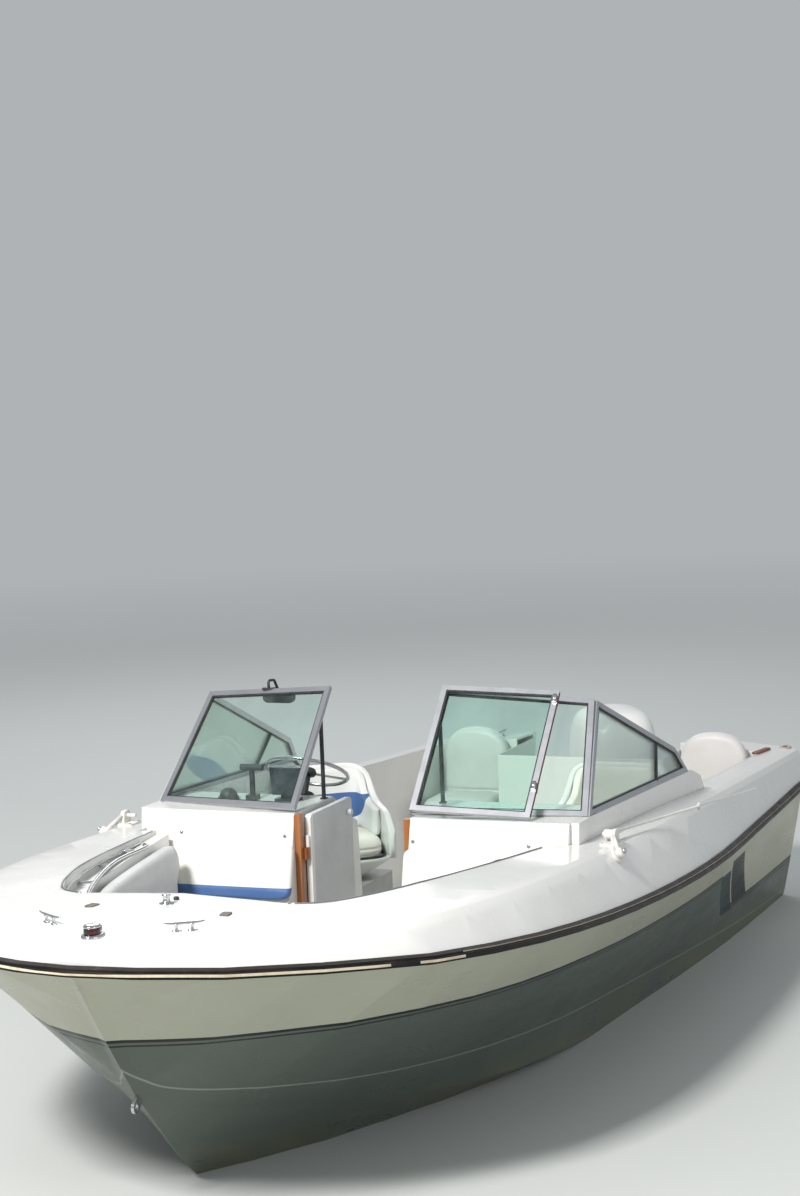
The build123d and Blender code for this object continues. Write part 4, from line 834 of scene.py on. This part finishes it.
# Jump seats
jump_x, jump_y = -2.320, 0.657
jump_plan = oval(90, 0.1875, 0.183, 5.0) + (jump_x - 0.012, jump_y)
jump_pad = cushion(jump_plan, 0.4455, 0.545, crown=0.016, edge=0.034, pinch=0.005)
jump_pads = surface("jump_pads", both_sides([jump_pad]), jump_vinyl, "boat")
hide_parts("jump_seat_pads")
back_corners = [(-0.182, -0.220), (0.182, -0.220), (0.182, 0.105), (0.135, 0.190), (0.055, 0.221)]
back_corners += [(-0.055, 0.221), (-0.135, 0.190), (-0.182, 0.105)]
back_outline = eased(back_corners, 120, 0.05)


def back_seam(x, y):
    """One groove across the back, a hand above its foot."""
    return groove(y, -0.115, 0.007, 0.006)


jump_grid = cushion(back_outline, -0.038, 0.036, crown=0.012, edge=0.030, pinch=0.003, channels=back_seam)
jump_back = turned(jump_grid, (-2.572, jump_y, 0.667), (0.0, 1.0, 0.0), (0.0, 0.0, 1.0))
jump_backs = surface("jump_backs", both_sides([jump_back]), jump_vinyl, "boat")
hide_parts("jump_seat_backs")


# Windscreen: gaskets round the glass, the seal and latches of the folded pane, the wing's divider
def drawn_in(corners, inset):
    """A flat outline's corners moved in by inset: each new corner is where its two edges, shifted inward, cross."""
    points = np.asarray(corners, float)
    run = np.roll(points, -1, axis=0) - points
    run /= np.linalg.norm(run, axis=1, keepdims=True)
    normal = np.cross(run[0], run[1])
    normal /= np.linalg.norm(normal)
    before = np.roll(run, 1, axis=0)
    inward = np.cross(normal, run)
    inward_before = np.cross(normal, before)
    bend = 1 + np.sum(inward * inward_before, axis=1, keepdims=True)
    return points + inset * (inward + inward_before) / bend, normal


def flat_ring(corners, inset, width, depth):
    """A frame of rectangular section round a flat outline: four loops of corners, outer and inner, front and back."""
    outer, normal = drawn_in(corners, inset)
    inner, _ = drawn_in(corners, inset + width)
    lift = normal * depth / 2
    loops = np.stack([outer - lift, outer + lift, inner + lift, inner - lift], axis=1)
    return np.concatenate([loops, loops[:1]])


# Corners of the port front pane and of the wing beside it
pane = np.array([(0.646, 0.262, 1.056), (0.485, 0.976, 1.037), (0.107, 0.898, 1.463), (0.218, 0.262, 1.514)])
wing = np.array([(-0.951, 0.980, 0.975), (0.488, 0.977, 1.036), (0.101, 0.901, 1.459), (-0.823, 0.957, 1.105)])


def gasket(corners):
    """The rubber round a pane's glass, a millimetre under its frame's inner edge."""
    frame_width, gasket_width, gasket_depth = 0.024, 0.007, 0.012
    return flat_ring(corners, frame_width - 0.001, gasket_width, gasket_depth)


gaskets = both_sides([gasket(pane), gasket(wing)])
surface("windscreen_gaskets", gaskets, gasket_finish, "boat", smooth=False)
hinge_point = np.array([0.654768, 0.262, 1.064193])
hinge_run = np.array([-0.682773, 0.0, 0.730631])
fold = np.radians(183.0)


def folded(points):
    """Points turned about the centre pane's hinge by its fold: the part along the hinge stays, the rest turns."""
    away = np.asarray(points, float) - hinge_point
    along = np.sum(away * hinge_run, axis=-1, keepdims=True) * hinge_run
    return hinge_point + along + (away - along) * np.cos(fold) + np.cross(hinge_run, away - along) * np.sin(fold)


half, foot_x, foot_z, head_x, head_z = 0.259, 0.646, 1.056, 0.218, 1.514
centre = folded([(foot_x, -half, foot_z), (foot_x, half, foot_z), (head_x, half, head_z), (head_x, -half, head_z)])
surface("centre_pane_gasket", [gasket(centre)], gasket_finish, "centre_pane", smooth=False)
free_low, free_top = centre[0], centre[3]
pane_out = np.cross(centre[1] - centre[0], centre[3] - centre[0])
pane_out /= np.linalg.norm(pane_out)
edge_run = (free_top - free_low) / np.linalg.norm(free_top - free_low)
edge_out = np.cross(edge_run, pane_out)
edge_out *= np.sign(np.dot(edge_out, free_low - centre[1]))
seal_in = edge_out * 0.0015
seal = bar(free_low - seal_in + edge_run * 0.01, free_top - seal_in - edge_run * 0.01, 0.006, 0.012, pane_out)
surface("centre_pane_seal", [seal], rust_seal, "centre_pane", smooth=False)
latches = []
for share in (0.24, 0.93):
    spot = free_low + (free_top - free_low) * share - edge_out * 0.012
    for side in (1, -1):
        latches.append(bar(spot + pane_out * side * 0.008, spot + pane_out * side * 0.026, 0.018, 0.030, edge_run))
    lever = spot + pane_out * 0.022
    latches.append(bar(lever - edge_run * 0.03, lever + edge_run * 0.03, 0.012, 0.009, pane_out))
surface("centre_pane_latches", latches, steel, "centre_pane")


def along_edge(start, end, x):
    """The point of a pane's edge at a place along the boat."""
    return start + (end - start) * (x - start[0]) / (end[0] - start[0])


divide_low = along_edge(wing[0], wing[1], -0.475) + (0.0, 0.0, 0.02)
divide_top = along_edge(wing[3], wing[2], -0.600) - (0.0, 0.0, 0.02)
divider = bar(divide_low, divide_top, 0.012, 0.014, (1.0, 0.0, 0.0))
surface("wing_dividers", both_sides([divider]), gasket_finish, "boat", smooth=False)

# Deck fittings
deck_rows = np.array(
    [  # place along the boat, crease half width, crease height, crown height
        (-3.05, 1.013, 0.746, 0.843), (-1.7, 1.054, 0.815, 0.892), (-0.4, 1.122, 0.901, 0.962),
        (0.8, 1.132, 0.955, 0.998), (1.7, 1.062, 0.998, 1.040), (2.3, 0.892, 1.014, 1.052),
        (2.5, 0.742, 1.022, 1.056), (2.65, 0.640, 1.026, 1.058), (2.88, 0.410, 1.028, 1.052),
        (3.04, 0.092, 1.024, 1.038),
    ]
)


def deck_level(x, y):
    """Height of the deck: straight from its crown on the centreline to its crease."""
    crease_y, crease_z, crown = (np.interp(x, deck_rows[:, 0], deck_rows[:, k]) for k in (1, 2, 3))
    return crown - (crown - crease_z) * np.abs(y) / crease_y


def horn_cleat(x, y, degrees, length=0.145):
    """An open-base cleat: two feet and posts, and a bar whose radius tapers to its horns and rises at their ends."""
    base = float(deck_level(x, y))
    bar_level, horn_rise, bar_radius = 0.0275, 0.005, 0.0068
    post_place, post_height, waist, flare = 0.027, 0.026, 0.0055, 0.003
    along = np.linspace(-1, 1, 25)
    path = np.column_stack([along * length / 2, np.zeros(25), bar_level + horn_rise * along**4])
    radius = bar_radius * (1 - 0.5 * np.abs(along) ** 2.5)
    ring = oval(14, 1.0, 0.8, 2.2)
    grids = [swept(path, ring[None] * radius[:, None, None])]
    for place in (-post_place, post_place):
        grids.append(disc(place, 0.0, -0.004, 0.018, 0.009, count=24, edge=0.6, half_b=0.010))
        post = np.column_stack([np.full(8, place), np.zeros(8), np.linspace(0.0, post_height, 8)])
        thick = waist + flare * (np.linspace(-1, 1, 8) ** 2)
        grids.append(swept(post, oval(14, 1.0, 1.0, 2)[None] * thick[:, None, None], (1.0, 0.0, 0.0)))
    return [about_upright(g, 0.0, 0.0, degrees) + np.array([x, y, base]) for g in grids]


bow_cleats = surface("bow_horn_cleats", both_sides(horn_cleat(2.712, 0.262, -58.0)), steel, "boat")
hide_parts("bow_cleats")
stern_cleats = surface("stern_horn_cleats", both_sides(horn_cleat(-2.800, 0.600, 2.0)), steel, "boat")
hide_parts("stern_cleats")

light_x = 2.882
light_z = float(deck_level(light_x, 0.0))
# Turned pieces from here on are rows of radius and height
light_base = lathe(
    [(0.02, -0.006), (0.050, -0.004), (0.052, 0.001), (0.049, 0.006), (0.040, 0.009), (0.030, 0.010), (0.01, 0.010)],
    light_x, 0.0, light_z, half_b=0.75,
)
light_cap = lathe(
    [(0.01, 0.031), (0.034, 0.031), (0.0355, 0.034), (0.033, 0.039), (0.022, 0.0415), (0.006, 0.042)],
    light_x + 0.004, 0.0, light_z, half_b=0.82,
)
light_back = lathe(
    [(0.01, 0.008), (0.022, 0.008), (0.024, 0.014), (0.023, 0.032), (0.01, 0.033)],
    light_x - 0.014, 0.0, light_z, half_b=1.15,
)
bow_light = surface("bow_light_body", [light_base, light_cap, light_back], steel, "boat")
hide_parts("bow_light")
lens = lathe(
    [(0.01, 0.009), (0.033, 0.009), (0.0345, 0.013), (0.0335, 0.028), (0.0325, 0.032), (0.01, 0.032)],
    light_x + 0.004, 0.0, light_z, half_b=0.83,
)
half_turn = lens.shape[1] // 2
port_lens = lens[:, : half_turn + 1]
starboard_lens = np.concatenate([lens[:, half_turn:], lens[:, :1]], axis=1)
surface("bow_light_port_lens", [port_lens], red_lens, "boat", closed=False)
surface("bow_light_starboard_lens", [starboard_lens], green_lens, "boat", closed=False)

hatch_plates = []
for x, y, degrees in ((2.450, 0.290, 8.0), (2.436, -0.248, -8.0)):
    plate = disc(x, y, float(deck_level(x, y)) - 0.002, 0.026, 0.007, power=6.0, half_b=0.018)
    hatch_plates.append(about_upright(plate, x, y, degrees))
surface("deck_hinge_plates", hatch_plates, hinge_finish, "boat")
socket_x, socket_y = 2.381, 0.023
socket_z = float(deck_level(socket_x, socket_y))
socket_rows = [
    (0.01, -0.004), (0.026, -0.003), (0.027, 0.002), (0.019, 0.005), (0.0125, 0.009), (0.012, 0.026), (0.016, 0.029),
    (0.016, 0.034), (0.011, 0.036), (0.004, 0.036),
]
surface("deck_socket", [lathe(socket_rows, socket_x, socket_y, socket_z, 36)], steel, "boat")
cap_x, cap_y = 2.308, 0.025
cap_rows = [(0.004, -0.003), (0.010, -0.002), (0.0105, 0.007), (0.008, 0.011), (0.003, 0.012)]
cap = lathe(cap_rows, cap_x, cap_y, float(deck_level(cap_x, cap_y)), 28)
surface("deck_socket_cap", [cap], black_finish, "boat")

# Grab rails of the bow: a tube on the ledge, a slimmer one along the wall, and short posts between them
rail_inner = smooth_path(
    [(0.990, 0.800), (1.000, 0.768), (1.18, 0.767), (1.377, 0.738), (1.596, 0.678), (1.869, 0.578), (2.02, 0.500),
     (2.06, 0.510)],
    90,
)
rail_outer = smooth_path(
    [(0.960, 0.836), (1.20, 0.804), (1.531, 0.748), (1.66, 0.716), (1.94, 0.630), (2.12, 0.540)], 70
)
inner_rise = [(1.12, 0.9525), (1.35, 0.960)]
outer_rise = [(0.96, 0.955), (1.20, 0.960), (1.35, 0.968), (1.8, 0.984), (2.1, 0.990)]
rail_grids = []
for plan, rise, radius, sides in ((rail_inner, inner_rise, 0.009, 14), (rail_outer, outer_rise, 0.0065, 12)):
    rail_grids.append(tube(np.column_stack([plan, np.interp(plan[:, 0], *zip(*rise))]), radius, sides))
for post_x, wall_x in ((1.14, 1.16), (1.42, 1.45), (1.72, 1.76)):
    near = [post_x, np.interp(post_x, rail_inner[:60, 0], rail_inner[:60, 1]), 0.959]
    far = [wall_x, np.interp(wall_x, rail_outer[:, 0], rail_outer[:, 1]), 0.962]
    rail_grids.append(tube(np.linspace(near, far, 6), 0.006))
rails = surface("bow_grab_rails", both_sides(rail_grids), steel, "boat")
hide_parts("bow_rails")

# A dark grey tube along the bow opening's edge: painted shade, standing in for the shadow gap between deck and liner
gap_line = side_line[(side_line[:, 0] > 0.765)]
gap_path = np.column_stack([gap_line, deck_level(gap_line[:, 0], gap_line[:, 1]) + 0.001])
surface("opening_gap_shade", both_sides([tube(gap_path, 0.004, 8)]), gap_shade_metal, "boat")

# Helm: wheel, its hub and spokes, on the plane of its rim
wheel_centre = np.array([0.101945, -0.445, 1.117850])
wheel_axis = np.array([-0.486107, 0.0, 0.873899])


def on_wheel(angle):
    """Directions square to the wheel's axis at angles from the port side, turning up its plane."""
    angle = np.asarray(angle, float)[..., None]
    return np.cos(angle) * (0.0, 1.0, 0.0) + np.sin(angle) * (wheel_axis[2], 0.0, -wheel_axis[0])


around = on_wheel(np.linspace(0, 2 * np.pi, 72, endpoint=False))
section = np.linspace(0, 2 * np.pi, 16, endpoint=False)[None, :, None]
rim_radius, rim_thick = 0.181, 0.0085
rim = around[:, None] * (rim_radius + rim_thick * np.cos(section)) + wheel_axis * rim_thick * np.sin(section)
rim = wheel_centre + np.concatenate([rim, rim[:1]])
wheel = surface("wheel_rim", [rim], steel, "wheel")
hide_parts("steering_wheel")
spokes = []
spoke_end, spoke_half_thick = 0.174, 0.0035
flat_oval = oval(12, 1, 1, 4)
for degrees in (90, 210, 330):
    along = np.linspace(0.028, spoke_end, 12)[:, None]
    dish = -0.006 + 0.004 * (along / spoke_end) ** 2
    path = wheel_centre + along * on_wheel(np.radians(degrees)) + wheel_axis * dish
    width = 0.017 - 0.006 * np.sin(np.pi * along / spoke_end)
    thick = np.broadcast_to(spoke_half_thick * flat_oval[:, 1], (len(along), len(flat_oval)))
    spokes.append(swept(path, np.stack([width * flat_oval[:, 0], thick], axis=-1), wheel_axis))
surface("wheel_spokes", spokes, steel, "wheel")
hub_rows = np.array(
    [(0.01, -0.018), (0.036, -0.017), (0.040, -0.008), (0.040, 0.002), (0.033, 0.012), (0.018, 0.017), (0.004, 0.018)]
)
hub = wheel_centre + hub_rows[:, None, :1] * around[None] + hub_rows[:, None, 1:] * wheel_axis
surface("wheel_hub", [hub], black_finish, "wheel")

# Outboard: cowl, its lower pan and trims
steer_x, steer_rest = -3.047, 32.0
cowl_rows = np.array(
    [  # height, middle aft of the axis, half length, half width, squareness
        (0.410, -0.190, 0.262, 0.184, 3.4), (0.425, -0.190, 0.272, 0.192, 3.4), (0.470, -0.190, 0.300, 0.208, 3.4),
        (0.500, -0.190, 0.314, 0.214, 3.4), (0.560, -0.189, 0.316, 0.215, 3.4), (0.640, -0.187, 0.316, 0.215, 3.4),
        (0.720, -0.184, 0.313, 0.213, 3.3), (0.780, -0.180, 0.304, 0.207, 3.2), (0.830, -0.176, 0.288, 0.196, 3.1),
        (0.865, -0.172, 0.264, 0.180, 3.0), (0.889, -0.170, 0.232, 0.156, 2.9), (0.902, -0.169, 0.190, 0.124, 2.8),
        (0.909, -0.168, 0.120, 0.078, 2.6), (0.911, -0.168, 0.045, 0.030, 2.4),
    ]
)
fine = np.linspace(0, len(cowl_rows) - 1, 92)
cowl_fine = np.stack([levelled(np.interp(fine, np.arange(len(cowl_rows)), row), 5) for row in cowl_rows.T], axis=-1)


def cowl_skin(rows, grow=0.0):
    """Superellipses stacked up the cowl: each row gives height, middle, half length, half width and power."""
    turn = np.linspace(0, 2 * np.pi, 96, endpoint=False)[None, :]
    c, s = np.cos(turn), np.sin(turn)
    power = 2 / rows[:, 4:5]
    x = steer_x + rows[:, 1:2] + (rows[:, 2:3] + grow) * np.sign(c) * np.abs(c) ** power
    y = (rows[:, 3:4] + grow) * np.sign(s) * np.abs(s) ** power
    return about_upright(np.stack([x, y, rows[:, :1] + 0 * x], axis=-1), steer_x, 0.0, steer_rest)


cowl_fine[:, 2:4] -= groove(cowl_fine[:, :1], 0.507, 0.006, 0.006)
cowl = surface("motor_cowl", [cowl_skin(cowl_fine)], cowl_finish, "motor")
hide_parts("engine_cowl")
pan_rows = cowl_fine[(cowl_fine[:, 0] > 0.50) & (cowl_fine[:, 0] < 0.516)]
surface("cowl_seal", [cowl_skin(pan_rows, 0.0025)], gasket_finish, "motor")

# Aerial: a collar on the mount's pin, a slim tube, a ferrule with a clip, and a whip
pole_root = np.array([0.560, 1.088, 0.985988])
drop, splay = np.radians(4.2), np.radians(4.5)
pole_run = np.array([-np.cos(drop) * np.cos(splay), np.cos(drop) * np.sin(splay), -np.sin(drop)])
pole_rows = [  # distance along the pole, radius
    (0.012, 0.0125), (0.030, 0.014), (0.088, 0.014), (0.096, 0.0105), (0.132, 0.0095), (0.138, 0.0062), (1.020, 0.0052),
    (1.024, 0.0078), (1.062, 0.0078), (1.068, 0.0034), (1.780, 0.0018), (1.784, 0.0034), (1.794, 0.0034),
    (1.798, 0.0012),
]
collar_rows = [
    (-0.0176, 0.013), (-0.0168, 0.0175), (-0.012, 0.0195), (0.012, 0.0195), (0.0168, 0.0175), (0.0176, 0.013)
]
clip_at = pole_root + pole_run * 1.045
pole = surface(
    "aerial_whip",
    [
        turned_rod(pole_rows, pole_root, pole_run),
        turned_rod(collar_rows, pole_root, (0.0, 1.0, 0.0), 32),
        bar(clip_at - (0.0, 0.0, 0.017), clip_at + (0.0, 0.0, 0.015), 0.009, 0.006, pole_run),
    ],
    white_finish, "aerial_pole",
)
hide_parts("aerial")
knobs, brackets = [], []
for hand in (1, -1):
    slope = np.array([0.0, 0.866 * hand, 0.5])
    foot = np.array([0.665, 1.149 * hand, 0.921])
    base_rows = [(-0.006, 0.030), (0.004, 0.041), (0.009, 0.041), (0.013, 0.036), (0.014, 0.012)]
    brackets.append(turned_rod(base_rows, foot, slope, 6))
    brackets.append(turned_rod([(0.010, 0.020), (0.032, 0.021), (0.036, 0.018), (0.037, 0.008)], foot, slope, 28))
    arm_end = np.array([0.585, 1.121 * hand, 0.984])
    brackets.append(bar(foot + slope * 0.018, arm_end, 0.022, 0.012, slope))
    knobs.append(turned_rod([(0.034, 0.010), (0.046, 0.011), (0.050, 0.009), (0.051, 0.003)], foot, slope, 20))
    for screw_x in (0.520, 0.600):
        knobs.append(disc(screw_x, 1.072 * hand, 0.9555, 0.0055, 0.003, count=16, edge=0.5))
surface("aerial_mount_knobs", knobs, steel, "boat")
surface("aerial_mount_brackets", brackets, white_finish, "boat")

# Stern fittings
rod_x, rod_y = -2.905, 0.950
rod_z = float(deck_level(rod_x, rod_y))
rod_plate = disc(rod_x, rod_y, rod_z - 0.002, 0.050, 0.008, power=2.2, count=40, edge=0.5, half_b=0.030)
surface("rod_holder", [rod_plate], tan_finish, "boat")
rod_mouth = disc(rod_x, rod_y, rod_z + 0.0045, 0.026, 0.003, edge=0.5, half_b=0.014)
surface("rod_holder_mouth", [rod_mouth], hinge_finish, "boat")
strip_path = np.linspace((-2.545, 0.882), (-2.760, 0.892), 12)
strip_path = np.column_stack([strip_path, deck_level(strip_path[:, 0], strip_path[:, 1]) + 0.004])
surface("step_strip", [swept(strip_path, oval(20, 0.017, 0.007, 4))], brown_trim, "boat")

# Floor at the waterline, soft light and the world
floor_mesh = bpy.data.meshes.new("floor")
reach, fade_from, fade_to = 60.0, 6.0, 22.0
floor_corners = [(-reach, -reach, 0.0), (reach, -reach, 0.0), (reach, reach, 0.0), (-reach, reach, 0.0)]
floor_mesh.from_pydata(floor_corners, [], [(0, 1, 2, 3)])
floor = bpy.data.objects.new("floor", floor_mesh)
bpy.context.scene.collection.objects.link(floor)
backdrop, backdrop_power = (0.86, 0.90, 0.93), 0.50
floor_finish, floor_tree, floor_shader = start_material("floor_paper", 0.75)
paper = blend_colour(floor_tree, spread(floor_tree, 0.4, 2.0), (0.52, 0.54, 0.53), (0.56, 0.575, 0.565))
floor_tree.links.new(paper, floor_shader.inputs["Base Color"])
floor_place = put(floor_tree, "TexCoord").outputs["Object"]
floor_away = put(floor_tree, "VectorMath", {0: floor_place}, operation="LENGTH").outputs["Value"]
far_paper = put(floor_tree, "Emission", {"Color": (*backdrop, 1.0), "Strength": backdrop_power}).outputs[0]
fade = steps(floor_tree, floor_away, fade_from, fade_to)
floor_blend = put(floor_tree, "MixShader", {0: fade, 1: floor_shader.outputs[0], 2: far_paper}).outputs[0]
floor_tree.links.new(floor_blend, floor_tree.nodes["Material Output"].inputs["Surface"])
floor_mesh.materials.append(floor_finish)


def lamp(name, place, aim, size, power, colour=(1.0, 1.0, 1.0)):
    """A square soft light at a place, turned to its aim."""
    data = bpy.data.lights.new(name, "AREA")
    data.shape = "SQUARE"
    data.size, data.energy, data.color = size, power, colour
    made = bpy.data.objects.new(name, data)
    bpy.context.scene.collection.objects.link(made)
    away = np.array(place, float) - np.array(aim, float)
    away /= np.linalg.norm(away)
    side = np.cross((0.0, 0.0, 1.0), away)
    side /= np.linalg.norm(side)
    stand = np.eye(4)
    stand[:3, :3] = np.stack([side, np.cross(away, side), away], axis=1)
    stand[:3, 3] = place
    made.matrix_world = Matrix(stand.tolist())


lamp("key_light", (10.0, -1.8, 9.8), (0.3, 0.0, 0.7), 2.2, 2100.0, (1.0, 0.98, 0.95))
lamp("fill_light", (4.0, 12.0, 5.0), (0.0, 0.0, 0.6), 7.0, 240.0, (0.93, 0.97, 1.0))
lamp("back_light", (-9.0, -5.0, 7.0), (-1.0, 0.0, 0.8), 6.0, 260.0, (0.95, 0.98, 1.0))
world = bpy.data.worlds.new("studio")
world.use_nodes = True
world.node_tree.nodes["Background"].inputs[0].default_value = (*backdrop, 1.0)
world.node_tree.nodes["Background"].inputs[1].default_value = backdrop_power
bpy.context.scene.world = world
bpy.context.scene.view_settings.view_transform = "Standard"
